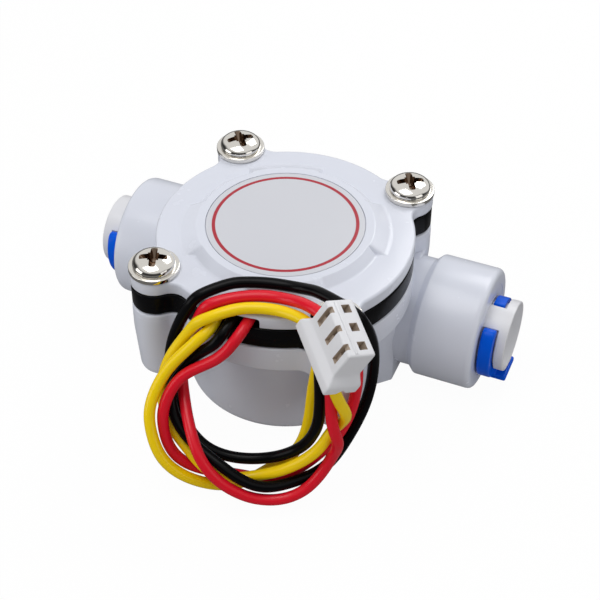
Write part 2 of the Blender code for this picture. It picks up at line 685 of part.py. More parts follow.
def make_screw(place_name, x, y):
    """A cross-recessed pan-head screw and its plain washer."""
    seat = CAP_RIM + SEAT_GAP
    washer = turned(
        "disc",
        [
            (WASHER_RADIUS, seat + WASHER_THICKNESS),
            (WASHER_RADIUS, seat),
            (SCREW_HOLE_RADIUS, seat),
            (SCREW_HOLE_RADIUS, seat + WASHER_THICKNESS),
        ],
        at(x, y, 0),
        SMALL_STEPS,
        closed=True,
    )
    make_part(washer, f"washer_{place_name}", STEEL)
    under = seat + WASHER_THICKNESS + SEAT_GAP
    top = under + SCREW_HEAD_HEIGHT
    dome = [
        (SCREW_HEAD_RADIUS * math.sin(a), under + 0.7 + (SCREW_HEAD_HEIGHT - 0.7) * math.cos(a) ** 0.8)
        for a in np.radians((0, 30, 60, 90))
    ]
    screw = turned(
        "head",
        dome
        + [
            (SCREW_HEAD_RADIUS, under),
            (SCREW_SHANK_RADIUS, under),
            (SCREW_SHANK_RADIUS, SCREW_TIP + 0.8),
            (SCREW_SHANK_RADIUS * 0.5, SCREW_TIP),
            (0.0, SCREW_TIP),
        ],
        at(x, y, 0),
        SMALL_STEPS,
    )
    half, span = SCREW_RECESS_WIDTH / 2, SCREW_RECESS_SPAN / 2
    floor = top - SCREW_RECESS_DEPTH
    turn = at(x, y, 0) @ Matrix.Rotation(math.radians(SCREW_TURNS[place_name]), 4, "Z")
    for name, wide, deep in (("slot_a", span, half), ("slot_b", half, span)):
        cut(screw, box(f"{name}_{place_name}", (-wide, -deep, floor), (wide, deep, top + 1.0), turn))
    make_part(screw, f"screw_{place_name}", STEEL)


def make_chamber_seal():
    """The ring seal between cup and sealing plate."""
    radius = CHAMBER_SEAL_SECTION / 2
    centre = FLANGE_TOP - CHAMBER_SEAL_SECTION / 2 + SEAL_SQUEEZE_GAP / 2
    seal = ring_seal("seal", CHAMBER_SEAL_RADIUS, radius, at(0, 0, centre), ROUND_STEPS)
    make_part(seal, "chamber_o_ring", RUBBER)


def ring_seal(name, major, minor, matrix, steps):
    """A round-section ring about local Z."""
    profile = [
        (major + minor * math.cos(a), -minor * math.sin(a)) for a in np.linspace(0, 2 * math.pi, 7)[:-1]
    ]
    return turned(name, profile, matrix, steps, closed=True)


def make_turbine():
    """The bladed wheel, its ring magnet and the fixed shaft it turns on."""
    bottom = CHAMBER_FLOOR + PIVOT_HEIGHT + RUNNING_GAP
    top = PLATE_HUB_BOTTOM - RUNNING_GAP
    magnet_low = PLATE_HUB_BOTTOM - MAGNET_TOP_GAP - MAGNET_HEIGHT
    disc_top = magnet_low - SEAT_GAP
    disc_bottom = disc_top - MAGNET_DISC_THICKNESS
    outline = []
    half = WHEEL_BLADE_THICKNESS / 2
    notch = half / math.sin(math.pi / WHEEL_BLADES)
    for i in range(WHEEL_BLADES):
        theta = 2 * math.pi * i / WHEEL_BLADES
        tip = (
            (WHEEL_RADIUS - half) * math.cos(theta),
            (WHEEL_RADIUS - half) * math.sin(theta),
        )
        between = theta - math.pi / WHEEL_BLADES
        outline.append((notch * math.cos(between), notch * math.sin(between)))
        outline += arc(tip, half, theta - math.pi / 2, theta + math.pi / 2, 4)
    wheel = prism("blades", outline, bottom + WHEEL_BLADE_RISE, disc_bottom + 0.2)
    hub = turned(
        "hub",
        [
            (0.0, top),
            (HUB_RADIUS, top),
            (HUB_RADIUS, disc_top),
            (MAGNET_RADIUS + 0.4, disc_top),
            (MAGNET_RADIUS + 0.4, disc_bottom),
            (HUB_RADIUS + 0.4, disc_bottom),
            (HUB_RADIUS + 0.4, bottom),
            (0.0, bottom),
        ],
    )
    join(wheel, hub)
    cut(wheel, rod("wheel_bore", SHAFT_RADIUS + FIT_GAP, bottom - 1.0, top + 1.0))
    impeller = make_part(wheel, "impeller", WHITE)
    magnet = turned(
        "magnet",
        [
            (MAGNET_RADIUS, magnet_low + MAGNET_HEIGHT),
            (MAGNET_RADIUS, magnet_low),
            (HUB_RADIUS + FIT_GAP, magnet_low),
            (HUB_RADIUS + FIT_GAP, magnet_low + MAGNET_HEIGHT),
        ],
        closed=True,
    )
    magnet = make_part(magnet, "ring_magnet", MAGNET)
    axis = bpy.data.objects.new("impeller_axis", None)
    PARTS.objects.link(axis)
    for piece in (impeller, magnet):
        piece.parent = axis
    shaft_low = CHAMBER_FLOOR / 2 + SEAT_GAP
    make_part(rod("pin", SHAFT_RADIUS, shaft_low, PLATE_BOTTOM - SEAT_GAP), "impeller_shaft", STAINLESS)


def make_electronics():
    """The board over the ring magnet with its sensor and two chips."""
    low = BAY_FLOOR + BOARD_STANDOFF + SEAT_GAP
    high = low + BOARD_THICKNESS
    wide, long = BOARD_WIDTH / 2, BOARD_LENGTH / 2
    board = box("panel", (-wide, -long, low), (wide, long, high))
    make_part(board, "hall_board", BOARD, smooth=False)
    for name, size, centre, finish in (
        ("hall_sensor", HALL_SIZE, (0.0, 4.2), EPOXY),
        ("chip_resistor", CHIP_SIZE, (-4.4, 1.0), CERAMIC),
        ("chip_capacitor", CHIP_SIZE, (4.4, 1.0), CERAMIC),
    ):
        base = high + SEAT_GAP
        corner = Vector((centre[0] - size[0] / 2, centre[1] - size[1] / 2, base))
        chip = box("package", corner, corner + Vector(size))
        make_part(chip, name, finish, smooth=False)


def make_port(side_name, side):
    """The quick-connect parts of one port: seal, grab ring, cartridge ring, collet and clip."""
    y, z = PORT_OFFSET_Y, PORT_AXIS_Z
    axis = along_x(side, y, z)
    seat = PORT_FACE_X - CARTRIDGE_DEPTH
    seal_x = seat - SEAT_GAP - (TUBE_SEAL_SECTION + 0.5) / 2
    seal_major = TUBE_RADIUS + TUBE_SEAL_SECTION / 2 - SEAL_SQUEEZE_GAP / 2
    seal = ring_seal("ring", seal_major, TUBE_SEAL_SECTION / 2, axis @ at(0, 0, seal_x), PORT_STEPS)
    make_part(seal, f"{side_name}_tube_o_ring", RUBBER)

    grab_low = seat + SEAT_GAP
    outline = []
    for i in range(GRAB_RING_TEETH):
        theta = 2 * math.pi * i / GRAB_RING_TEETH
        half = math.pi / GRAB_RING_TEETH
        outline += arc((0, 0), TUBE_RADIUS, theta - 0.6 * half, theta + 0.6 * half, 2)
        outline += arc((0, 0), TUBE_RADIUS + 1.6, theta + 0.8 * half, theta + 1.2 * half, 1)
    grab = turned(
        "steel",
        [
            (0.0, grab_low + GRAB_RING_THICKNESS),
            (CARTRIDGE_RADIUS - 0.1, grab_low + GRAB_RING_THICKNESS),
            (CARTRIDGE_RADIUS - 0.1, grab_low),
            (0.0, grab_low),
        ],
        axis,
        PORT_STEPS,
    )
    cut(grab, prism(f"{side_name}_teeth", outline, grab_low - 1.0, grab_low + 1.0, axis))
    make_part(grab, f"{side_name}_grab_ring", STAINLESS)

    ring_low = grab_low + GRAB_RING_THICKNESS + SEAT_GAP
    ring_high = PORT_FACE_X - SEAT_GAP
    throat = COLLET_NECK_RADIUS + FIT_GAP
    pocket = COLLET_BARB_RADIUS + FIT_GAP
    pocket_end = ring_low + COLLET_POCKET_LENGTH
    ring = turned(
        "cartridge",
        [
            (CARTRIDGE_RADIUS, ring_high),
            (CARTRIDGE_RADIUS, ring_low),
            (pocket, ring_low),
            (pocket, pocket_end),
            (throat, pocket_end + 0.7),
            (throat, ring_high),
        ],
        axis,
        PORT_STEPS,
        closed=True,
    )
    make_part(ring, f"{side_name}_cartridge_ring", WHITE)

    collet_low = ring_low + SEAT_GAP
    face = PORT_FACE_X + COLLET_REACH
    flange = face - COLLET_FLANGE_THICKNESS
    bore = TUBE_RADIUS + FIT_GAP
    collet = turned(
        "sleeve",
        [
            (bore + 0.3, face),
            (COLLET_FLANGE_RADIUS - 0.25, face),
            (COLLET_FLANGE_RADIUS, face - 0.25),
            (COLLET_FLANGE_RADIUS, PORT_FACE_X + SEAT_GAP),
            (COLLET_NECK_RADIUS, PORT_FACE_X + SEAT_GAP),
            (COLLET_NECK_RADIUS, pocket_end - 0.5),
            (COLLET_BARB_RADIUS, pocket_end - 1.0),
            (COLLET_NECK_RADIUS, collet_low),
            (bore, collet_low),
            (bore, face - 0.3),
        ],
        axis,
        PORT_STEPS,
        closed=True,
    )
    wide, long = COLLET_SLOT_WIDTH / 2, COLLET_BARB_RADIUS + 1.0
    for name, across, down in (("a", wide, long), ("b", long, wide)):
        slot = box(
            f"{side_name}_collet_slot_{name}",
            (-across, -down, collet_low - 1.0),
            (across, down, collet_low + COLLET_SLOT_LENGTH),
            axis,
        )
        cut(collet, slot)
    outer = COLLET_FLANGE_RADIUS + 1.0
    reach = CLIP_WRAP + math.degrees((CLIP_WIDTH / 2 + FIT_GAP) / COLLET_NECK_RADIUS)
    groove = horseshoe(COLLET_NECK_RADIUS, outer, reach)
    cut(collet, prism(f"{side_name}_groove", groove, PORT_FACE_X - 1.0, flange, clip_frame(side, y, z)))
    make_part(collet, f"{side_name}_collet", PALE)
    make_clip(side_name, side, y, z)


def horseshoe(inner, outer, wrap):
    """An arc-shaped outline open at the top, whose arms reach wrap degrees above the middle."""
    tip = math.radians(wrap)
    middle, round_radius = (inner + outer) / 2, (outer - inner) / 2
    ends = [(middle * math.cos(angle), middle * math.sin(angle)) for angle in (tip, math.pi - tip)]
    outline = arc((0, 0), outer, math.pi - tip, 2 * math.pi + tip, 20)
    outline += arc(ends[0], round_radius, tip, tip + math.pi, 4)[1:-1]
    outline += arc((0, 0), inner, 2 * math.pi + tip, math.pi - tip, 20)
    outline += arc(ends[1], round_radius, -tip, math.pi - tip, 4)[1:-1]
    return outline


def clip_frame(side, y, z):
    """A port's frame with local Z out of the port and local Y up."""
    return at(0, y, z) @ Matrix(((0, 0, side, 0), (side, 0, 0, 0), (0, 1, 0, 0), (0, 0, 0, 1)))


def make_clip(side_name, side, y, z):
    """The horseshoe clip behind the collet flange, with a finger plate under the collet."""
    inner = COLLET_NECK_RADIUS + FIT_GAP
    outer = inner + CLIP_WIDTH
    gap = (COLLET_REACH - COLLET_FLANGE_THICKNESS - CLIP_THICKNESS) / 2
    low = PORT_FACE_X + gap
    high = low + CLIP_THICKNESS
    frame = clip_frame(side, y, z)
    clip = prism("clip", horseshoe(inner, outer, CLIP_WRAP), low, high, frame)
    bottom = -outer - CLIP_TAB_DROP
    half = CLIP_TAB_WIDTH / 2
    foot = box(f"{side_name}_tab_foot", (-half, bottom, low), (half, -inner - 0.4, high), frame)
    plate = box(
        f"{side_name}_tab_plate",
        (-half, bottom, low),
        (half, bottom + CLIP_TAB_THICKNESS, high + CLIP_TAB_REACH),
        frame,
    )
    join(clip, foot, plate)
    make_part(clip, f"{side_name}_locking_clip", BLUE)


def smooth_line(points, spacing):
    """Evenly spaced points on a Catmull-Rom curve through the given points."""
    points = np.array(points, float)
    ends = np.vstack([2 * points[0] - points[1], points, 2 * points[-1] - points[-2]])
    t = np.linspace(0.0, 1.0, 8, endpoint=False)[:, None]
    pieces = []
    for a, b, c, d in zip(ends, ends[1:], ends[2:], ends[3:]):
        curve = 2 * b + (c - a) * t + (2 * a - 5 * b + 4 * c - d) * t**2 + (3 * b - a - 3 * c + d) * t**3
        pieces.append(curve / 2)
    return even(np.vstack(pieces + [points[-1:]]), spacing)


def even(line, spacing):
    """The same line with points at an even spacing."""
    run = np.r_[0.0, np.cumsum(np.linalg.norm(np.diff(line, axis=0), axis=1))]
    stops = np.linspace(0.0, run[-1], round(run[-1] / spacing) + 1)
    return np.column_stack([np.interp(stops, run, line[:, axis]) for axis in range(3)])


def cylinder_distance(points, x, y, radius, low, high):
    """Signed distance from points to an upright cylinder."""
    across = np.hypot(points[:, 0] - x, points[:, 1] - y) - radius
    along = np.maximum(low - points[:, 2], points[:, 2] - high)
    corner = (across > 0) & (along > 0)
    return np.where(corner, np.hypot(across, along), np.maximum(across, along))


def box_distance(points, low, high):
    """Signed distance from points in the connector's frame to a box."""
    low, high = np.array(low), np.array(high)
    over = np.abs(points - (low + high) / 2) - (high - low) / 2
    outside = np.linalg.norm(np.maximum(over, 0.0), axis=1)
    return np.where(outside > 0, outside, over.max(axis=1))


def clearance(points):
    """How far each point is from the body, the screws, the connector and the ground."""
    washer_top = CAP_RIM + SEAT_GAP + WASHER_THICKNESS
    cylinders = [
        (0.0, 0.0, BODY_RADIUS, CUP_HEIGHT, CAP_RIM),
        (0.0, 0.0, PLATFORM_STEP_OUTER, CAP_BOTTOM, CAP_TOP),
        (0.0, 0.0, CUP_RADIUS, 0.0, CUP_HEIGHT),
    ]
    for name in ("front_left", "front_right"):
        x, y = SCREW_PLACES[name]
        cylinders += [
            (x, y, LOBE_RADIUS, CUP_HEIGHT, CAP_RIM),
            (x, y, COLUMN_RADIUS, COLUMN_BOTTOM, CUP_HEIGHT),
            (x, y, WASHER_RADIUS, CAP_RIM, washer_top),
            (x, y, SCREW_HEAD_RADIUS, CAP_RIM, washer_top + SCREW_HEAD_HEIGHT),
        ]
    frame = np.array(connector_frame().inverted())
    local = points * MM @ frame[:3, :3].T + frame[:3, 3]
    width = 2 * (WAY_PITCH + CONNECTOR_END_WALL)
    foot = (
        (-width - CONNECTOR_FOOT_END, -CONNECTOR_DEPTH - CONNECTOR_FOOT_FRONT, -CONNECTOR_LENGTH),
        (CONNECTOR_FOOT_END, CONNECTOR_FOOT_BACK, -CONNECTOR_BLOCK_LENGTH),
    )
    block = ((-width, -CONNECTOR_DEPTH, -CONNECTOR_LENGTH), (0.0, 0.0, 0.0))
    distances = [cylinder_distance(points, *cylinder) for cylinder in cylinders]
    distances += [box_distance(local / MM, *corners) for corners in (block, foot)]
    return np.min(distances + [points[:, 2]], axis=0)


def settle(strands):
    """Pushes the strands apart and off the body, as they lie against each other.

    Each round moves a point away from every strand nearer than WIRE_SPACING and from every
    surface nearer than WIRE_STANDOFF, then takes out a little of the line's unevenness. The
    stretches inside the body and the connector stay where they are.
    """
    counts = [len(strand) for strand in strands]
    points = np.vstack(strands)
    home = points.copy()
    wire = np.repeat(np.arange(len(strands)), counts)
    place_on_wire = np.concatenate([np.arange(count) for count in counts])
    left = np.repeat(counts, counts) - place_on_wire
    inside = (home[:, 1] > WIRE_EXIT_Y) & (place_on_wire < WIRE_HELD_START)
    held = inside | (left <= WIRE_HELD_END)
    ends = (place_on_wire == 0) | (left == 1)
    apart = abs(place_on_wire[:, None] - place_on_wire)
    neighbours = (wire[:, None] == wire) & (apart < WIRE_OWN_REACH)
    for _ in range(SETTLE_ROUNDS):
        between = points[:, None] - points
        distance = np.linalg.norm(between, axis=2)
        distance[neighbours] = 1e3
        overlap = np.clip(WIRE_SPACING - distance, 0.0, None)
        push = (between * (overlap / distance)[..., None]).sum(axis=1) / 4
        push /= np.sqrt(np.maximum((overlap > 0).sum(axis=1), 1))[:, None]
        slope = np.column_stack(
            [clearance(points + step) - clearance(points - step) for step in 0.02 * np.eye(3)]
        )
        slope /= np.maximum(np.linalg.norm(slope, axis=1, keepdims=True), 1e-9)
        push += 0.7 * slope * np.clip(WIRE_STANDOFF - clearance(points), 0.0, None)[:, None]
        bend = second_difference(points, ends)
        move = push + 0.02 * bend - 0.055 * second_difference(bend, ends) + 0.004 * (home - points)
        move *= np.minimum(1.0, 0.25 / np.maximum(np.linalg.norm(move, axis=1, keepdims=True), 1e-9))
        move[held] = 0.0
        points = points + move
    return np.split(points, np.cumsum(counts)[:-1])


def second_difference(values, ends):
    """Each point's neighbours less twice itself, and nothing at a wire's ends."""
    result = np.roll(values, 1, axis=0) + np.roll(values, -1, axis=0) - 2 * values
    result[ends] = 0.0
    return result


def make_wires():
    """The three insulated wires from the board to the connector."""
    routes = (
        ("yellow_wire", YELLOW_ROUTE, WIRE_YELLOW),
        ("black_wire", BLACK_ROUTE, WIRE_BLACK),
        ("red_wire", RED_ROUTE, WIRE_RED),
    )
    strands = settle([smooth_line(route, WIRE_SAMPLE) for _, route, _ in routes])
    for (name, _, finish), strand in zip(routes, strands):
        line = even(strand, WIRE_STEP_LENGTH)
        data = bpy.data.curves.new(name, "CURVE")
        data.dimensions = "3D"
        data.bevel_depth = WIRE_RADIUS * MM
        data.bevel_resolution = 2
        data.use_fill_caps = True
        spline = data.splines.new("POLY")
        spline.points.add(len(line) - 1)
        for point, position in zip(spline.points, line):
            point.co = (*(position * MM), 1.0)
        make_part(mesh_from(place("wire", data)), name, finish)


def connector_frame():
    """The connector's frame: X along the row, Z out of its mating face, Y to its back.

    The origin is the back corner of the mating face at the yellow wire's end.
    """
    row = Vector(CONNECTOR_ROW).normalized()
    rear = Vector(CONNECTOR_REAR)
    out = (row * rear.dot(row) - rear).normalized()
    turn = Matrix((row, out.cross(row), out)).transposed().to_4x4()
    return at(*CONNECTOR_CORNER) @ turn


def make_connector():
    """The crimp housing and its three terminals."""
    frame = connector_frame()
    width = 2 * (WAY_PITCH + CONNECTOR_END_WALL)
    rear, step = -CONNECTOR_LENGTH, -CONNECTOR_BLOCK_LENGTH
    foot_top = step - CONNECTOR_FOOT_RISE
    front, back, end = CONNECTOR_FOOT_FRONT, CONNECTOR_FOOT_BACK, CONNECTOR_FOOT_END
    levels = ((0.0, 0.0), (step, 0.0), (foot_top, 1.0), (rear, 1.0))
    rings = [
        [
            (-width - end * out, -CONNECTOR_DEPTH - front * out, height),
            (end * out, -CONNECTOR_DEPTH - front * out, height),
            (end * out, back * out, height),
            (-width - end * out, back * out, height),
        ]
        for height, out in levels
    ]
    housing = loft("crimp_housing", rings, frame)
    edges = housing.modifiers.new("soft_edges", "BEVEL")
    edges.width = CONNECTOR_CHAMFER * MM
    edges.segments = 1
    edges.limit_method = "ANGLE"
    edges.angle_limit = math.radians(50)
    half, entry, slot = CONNECTOR_CAVITY / 2, CONNECTOR_ENTRY / 2, CONNECTOR_SLOT_WIDTH / 2
    cavity_top = -CONNECTOR_CAVITY_DEPTH
    for i, colour in enumerate(("yellow", "red", "black")):
        x = -CONNECTOR_END_WALL - i * WAY_PITCH
        y = -WAY_DEPTH
        cut(
            housing,
            box(f"cavity_{i}", (x - half, y - half, rear - 1.0), (x + half, y + half, cavity_top), frame),
            box(f"entry_{i}", (x - entry, y - entry, cavity_top - 0.2), (x + entry, y + entry, 1.0), frame),
            box(
                f"latch_slot_{i}",
                (x - slot, -CONNECTOR_DEPTH - 1.0, -CONNECTOR_SLOT_LENGTH),
                (x + slot, -CONNECTOR_DEPTH + CONNECTOR_SLOT_DEPTH, 1.0),
                frame,
            ),
        )
        reach = TERMINAL_SIZE / 2
        high = cavity_top - SEAT_GAP
        terminal = box(
            "contact",
            (x - reach, y - reach, high - TERMINAL_LENGTH),
            (x + reach, y + reach, high),
            frame,
        )
        make_part(terminal, f"crimp_terminal_{colour}", TIN, smooth=False)
    for name, x in (("near", 0.0), ("far", -width)):
        notch = at(x, -CONNECTOR_DEPTH / 2, rear) @ Matrix.Rotation(math.pi / 4, 4, "X")
        reach = CONNECTOR_NOTCH / math.sqrt(2)
        corners = (-end - 1.0, -reach, -reach), (end + 1.0, reach, reach)
        cut(housing, box(f"notch_{name}", *corners, frame @ notch))
    make_part(housing, "connector_housing", PALE)


def main():
    """Builds every part of the sensor."""
    make_lower_housing()
    make_sealing_plate()
    make_top_cap()
    for name, (x, y) in SCREW_PLACES.items():
        make_screw(name, x, y)
    make_chamber_seal()
    make_turbine()
    make_electronics()
    for side_name, side in (("left", -1), ("right", 1)):
        make_port(side_name, side)
    make_connector()
    make_wires()


main()
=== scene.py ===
"""Water flow sensor with two push-fit ports, a turbine wheel and a three-wire lead.

Every size is in millimetres and is turned into metres where a mesh is made. X runs along
the ports, +Y points away from the wire exit and Z is up, with the origin at the bottom of
the cup on the wheel's axis.
"""

from __future__ import annotations

import json
import logging
import math
from dataclasses import dataclass
from enum import Enum
from typing import Iterable, Sequence

import bmesh
import bpy
import numpy as np
from mathutils import Matrix, Vector

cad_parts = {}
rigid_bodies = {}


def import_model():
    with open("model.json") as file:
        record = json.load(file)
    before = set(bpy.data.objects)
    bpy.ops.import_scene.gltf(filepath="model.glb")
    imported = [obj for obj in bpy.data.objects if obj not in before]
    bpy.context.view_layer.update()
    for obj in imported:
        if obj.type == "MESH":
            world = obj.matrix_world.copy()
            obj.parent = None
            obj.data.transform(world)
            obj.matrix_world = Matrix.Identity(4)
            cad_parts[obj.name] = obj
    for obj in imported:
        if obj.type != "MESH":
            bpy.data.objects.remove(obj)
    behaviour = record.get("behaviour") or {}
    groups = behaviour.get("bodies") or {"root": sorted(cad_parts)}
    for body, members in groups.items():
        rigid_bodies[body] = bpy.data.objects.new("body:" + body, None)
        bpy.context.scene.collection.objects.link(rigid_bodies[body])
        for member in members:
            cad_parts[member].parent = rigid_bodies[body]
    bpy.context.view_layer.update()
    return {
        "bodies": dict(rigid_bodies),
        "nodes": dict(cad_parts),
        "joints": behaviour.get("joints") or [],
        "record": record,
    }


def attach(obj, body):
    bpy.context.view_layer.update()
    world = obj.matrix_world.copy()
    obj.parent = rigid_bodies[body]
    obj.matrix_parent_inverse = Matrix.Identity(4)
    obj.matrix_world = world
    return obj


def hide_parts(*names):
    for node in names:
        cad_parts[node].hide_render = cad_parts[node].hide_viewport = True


LOG = logging.getLogger("water_flow_sensor")
MM = 0.001
# How far a tool or a joined solid runs past a face, so that no two faces coincide.
OVER = 1.0
HOUSING_BODY = "housing"
# Face attribute that marks the recess faces where shade is painted.
RECESS_SHADE_MARK = "hollow"
# Pieces in the rounding of a rim.
RIM_STEPS = 4
# Sizes of the noise and depth of the bump, in millimetres.
CLOUDS, PATCHES, GRAIN, BUMP = 9.0, 3.2, 0.22, 0.05

Object = bpy.types.Object
Socket = bpy.types.NodeSocket
Pair = tuple[float, float]
Triple = tuple[float, float, float]
Sizes = tuple[float, ...]


class Side(Enum):
    """The two ports, by the sign of their X."""

    LEFT = -1
    RIGHT = 1

    @property
    def label(self) -> str:
        """The side's name as the nodes spell it."""
        return self.name.lower()


@dataclass(frozen=True)
class Body:
    """The sizes that several sub-assemblies share."""

    cup_height: float = 14.8
    flange_top: float = 18.7
    plate_bottom: float = 18.8
    plate_top: float = 21.9
    cap_bottom: float = 22.0
    cap_rim: float = 24.0
    cap_top: float = 25.15
    radius: float = 17.0
    cup_radius: float = 14.0
    lobe_radius: float = 3.2
    lobe_blend: float = 2.2
    screw_x: float = 12.45
    screw_y: float = 13.45
    screw_hole: float = 1.65
    shaft_hole: float = 0.85
    label_radius: float = 10.4
    bay_radius: float = 11.2
    port_y: float = 7.8
    port_z: float = 8.6

    @property
    def screws(self) -> dict[str, Pair]:
        """Where each screw stands."""
        return {
            f"{row}_{side}": (sx * self.screw_x, sy * self.screw_y)
            for row, sy in (("front", -1), ("rear", 1))
            for side, sx in (("left", -1), ("right", 1))
        }

    def outline(self, inset: float = 0.0, steps: int = 6) -> np.ndarray:
        """The round outline with a filleted lobe about each screw, counterclockwise.

        A fillet of radius f touches the body circle R and the lobe circle r. Its centre is
        R + f from the axis and r + f from the lobe's centre, so the law of cosines gives
        the angle between it and the lobe's direction.

        Args:
            inset: How far inside the outline the line runs.
            steps: Points per short arc.

        Returns:
            The outline's points, one row each.
        """
        reach = math.hypot(self.screw_x, self.screw_y)
        body, lobe, fillet = self.radius - inset, self.lobe_radius - inset, self.lobe_blend + inset
        squares = (body + fillet) ** 2 + reach**2 - (lobe + fillet) ** 2
        alpha = math.acos(squares / (2 * (body + fillet) * reach))
        lobes = sorted(math.atan2(y, x) % (2 * math.pi) for x, y in self.screws.values())
        pieces = []
        for i, theta in enumerate(lobes):
            middle = reach * np.array([math.cos(theta), math.sin(theta)])
            before, after = (
                (body + fillet) * np.array([math.cos(a), math.sin(a)])
                for a in (theta - alpha, theta + alpha)
            )
            inward = [math.atan2(*(middle - centre)[::-1]) for centre in (before, after)]
            start = theta - alpha + math.pi
            turn = (inward[0] - start + math.pi) % (2 * math.pi) - math.pi
            pieces.append(arc(before, fillet, start, start + turn, steps))
            first = inward[0] + math.pi
            sweep = (inward[1] + math.pi - first) % (2 * math.pi)
            pieces.append(arc(middle, lobe, first, first + sweep, 4 * steps)[1:-1])
            turn = (theta + alpha + math.pi - inward[1] + math.pi) % (2 * math.pi) - math.pi
            pieces.append(arc(after, fillet, inward[1], inward[1] + turn, steps))
            following = lobes[(i + 1) % 4] + (2 * math.pi if i == 3 else 0.0)
            pieces.append(arc((0.0, 0.0), body, theta + alpha, following - alpha, 5 * steps)[1:-1])
        return np.vstack(pieces)


BODY = Body()


def arc(centre: Sequence[float], radius: float, start: float, end: float, steps: int) -> np.ndarray:
    """Points of an arc, both ends included; angles in radians."""
    angles = np.linspace(start, end, steps + 1)
    return np.asarray(centre) + radius * np.column_stack([np.cos(angles), np.sin(angles)])


def horseshoe(inner: float, outer: float, wrap: float, turn: float) -> np.ndarray:
    """An arc-shaped outline open at the top, with round ends.

    Args:
        inner: Its inner radius.
        outer: Its outer radius.
        wrap: How many degrees above the middle its arms reach.
        turn: How many degrees the whole outline is turned, counterclockwise.

    Returns:
        The outline's points, counterclockwise.
    """
    tip = math.radians(wrap)
    long, short = 64, 10
    middle, end = (inner + outer) / 2, (outer - inner) / 2
    right, left = (middle * np.array([math.cos(a), math.sin(a)]) for a in (tip, math.pi - tip))
    outline = np.vstack(
        [
            arc((0, 0), outer, math.pi - tip, 2 * math.pi + tip, long),
            arc(right, end, tip, tip + math.pi, short)[1:-1],
            arc((0, 0), inner, 2 * math.pi + tip, math.pi - tip, long),
            arc(left, end, -tip, math.pi - tip, short)[1:-1],
        ]
    )
    cosine, sine = math.cos(math.radians(turn)), math.sin(math.radians(turn))
    return outline @ np.array([[cosine, sine], [-sine, cosine]])


def rounded(
    points: Iterable[Sequence[float]],
    radius: float | Sequence[float],
    closed: bool = False,
    steps: int = 5,
) -> np.ndarray:
    """A polyline with its corners rounded.

    Each corner becomes a quadratic curve between the two points at radius * tan(turn / 2)
    from it, or at just under half of the shorter side.

    Args:
        points: The corners.
        radius: One radius, or one for each corner.
        closed: Whether the last point joins the first.
        steps: Pieces in each rounding.

    Returns:
        The new points, one row each.
    """
    corners = np.asarray(list(points), float)
    radii = np.broadcast_to(radius, len(corners))
    t = np.linspace(0.0, 1.0, steps + 1)[:, None]
    pieces = []
    for i, corner in enumerate(corners):
        back = corners[i - 1] - corner
        ahead = corners[(i + 1) % len(corners)] - corner
        sides = np.linalg.norm(back), np.linalg.norm(ahead)
        at_end = not closed and i in (0, len(corners) - 1)
        if at_end or radii[i] <= 0 or min(sides) < 1e-9:
            pieces.append(corner[None])
            continue
        back, ahead = back / sides[0], ahead / sides[1]
        turn = math.pi - math.acos(float(np.clip(back @ ahead, -1.0, 1.0)))
        reach = min(radii[i] * math.tan(turn / 2), 0.49 * min(sides))
        pieces.append(
            (1 - t) ** 2 * (corner + back * reach)
            + 2 * t * (1 - t) * corner
            + t**2 * (corner + ahead * reach)
        )
    return np.vstack(pieces)


def at(x: float, y: float, z: float) -> Matrix:
    """A move to a point given in millimetres."""
    return Matrix.Translation(Vector((x, y, z)) * MM)


def along_x(side: int) -> Matrix:
    """Lays a turned shape on the ports' axis, its local Z towards +X or -X."""
    return at(0, BODY.port_y, BODY.port_z) @ Matrix.Rotation(side * math.pi / 2, 4, "Y")


def add_object(name: str, data: bpy.types.ID) -> Object:
    """Puts a new object with this data into the scene."""
    obj = bpy.data.objects.new(name, data)
    bpy.context.scene.collection.objects.link(obj)
    return obj


def mesh_object(
    name: str, points: np.ndarray, faces: list[list[int]], matrix: Matrix | None = None
) -> Object:
    """A mesh object from points in millimetres, its vertices in the row frame.

    Args:
        name: The object's name.
        points: One row a vertex.
        faces: Vertex numbers of each face, counterclockwise from outside.
        matrix: Where the shape lies.

    Returns:
        The object, at the origin and unturned.
    """
    mesh = bpy.data.meshes.new(name)
    mesh.from_pydata((np.asarray(points) * MM).tolist(), [], faces)
    shape = bmesh.new()
    shape.from_mesh(mesh)
    bmesh.ops.remove_doubles(shape, verts=shape.verts, dist=1e-7)
    bmesh.ops.dissolve_degenerate(shape, edges=shape.edges, dist=1e-8)
    if matrix is not None:
        bmesh.ops.transform(shape, matrix=matrix, verts=shape.verts)
    shape.to_mesh(mesh)
    shape.free()
    return add_object(name, mesh)


def grid_faces(rows: int, columns: int, closed: bool = False) -> list[list[int]]:
    """Faces of a grid whose rows are rings, running down the outer side."""
    last = rows if closed else rows - 1
    row, column = np.meshgrid(np.arange(last), np.arange(columns), indexing="ij")
    below, beside = (row + 1) % rows, (column + 1) % columns
    quads = [row * columns + column, below * columns + column]
    quads += [below * columns + beside, row * columns + beside]
    return np.stack(quads, axis=-1).reshape(-1, 4).tolist()


def lathe(
    name: str,
    profile: Iterable[Sequence[float]],
    matrix: Matrix | None = None,
    segments: int = 96,
    closed: bool = False,
) -> Object:
    """A profile of (radius, height) turned about local Z.

    Args:
        name: The object's name.
        profile: Points down the outer side from top to bottom, then up a bore if closed.
        matrix: Where the shape lies.
        segments: Steps in the turn.
        closed: Whether the profile is a loop that misses the axis.

    Returns:
        The closed shape.
    """
    profile = np.asarray(list(profile), float)
    angles = np.linspace(0.0, 2 * math.pi, segments, endpoint=False)
    points = np.empty((len(profile), segments, 3))
    points[..., 0] = profile[:, None, 0] * np.cos(angles)
    points[..., 1] = profile[:, None, 0] * np.sin(angles)
    points[..., 2] = profile[:, None, 1]
    return mesh_object(name, points.reshape(-1, 3), grid_faces(len(profile), segments, closed), matrix)


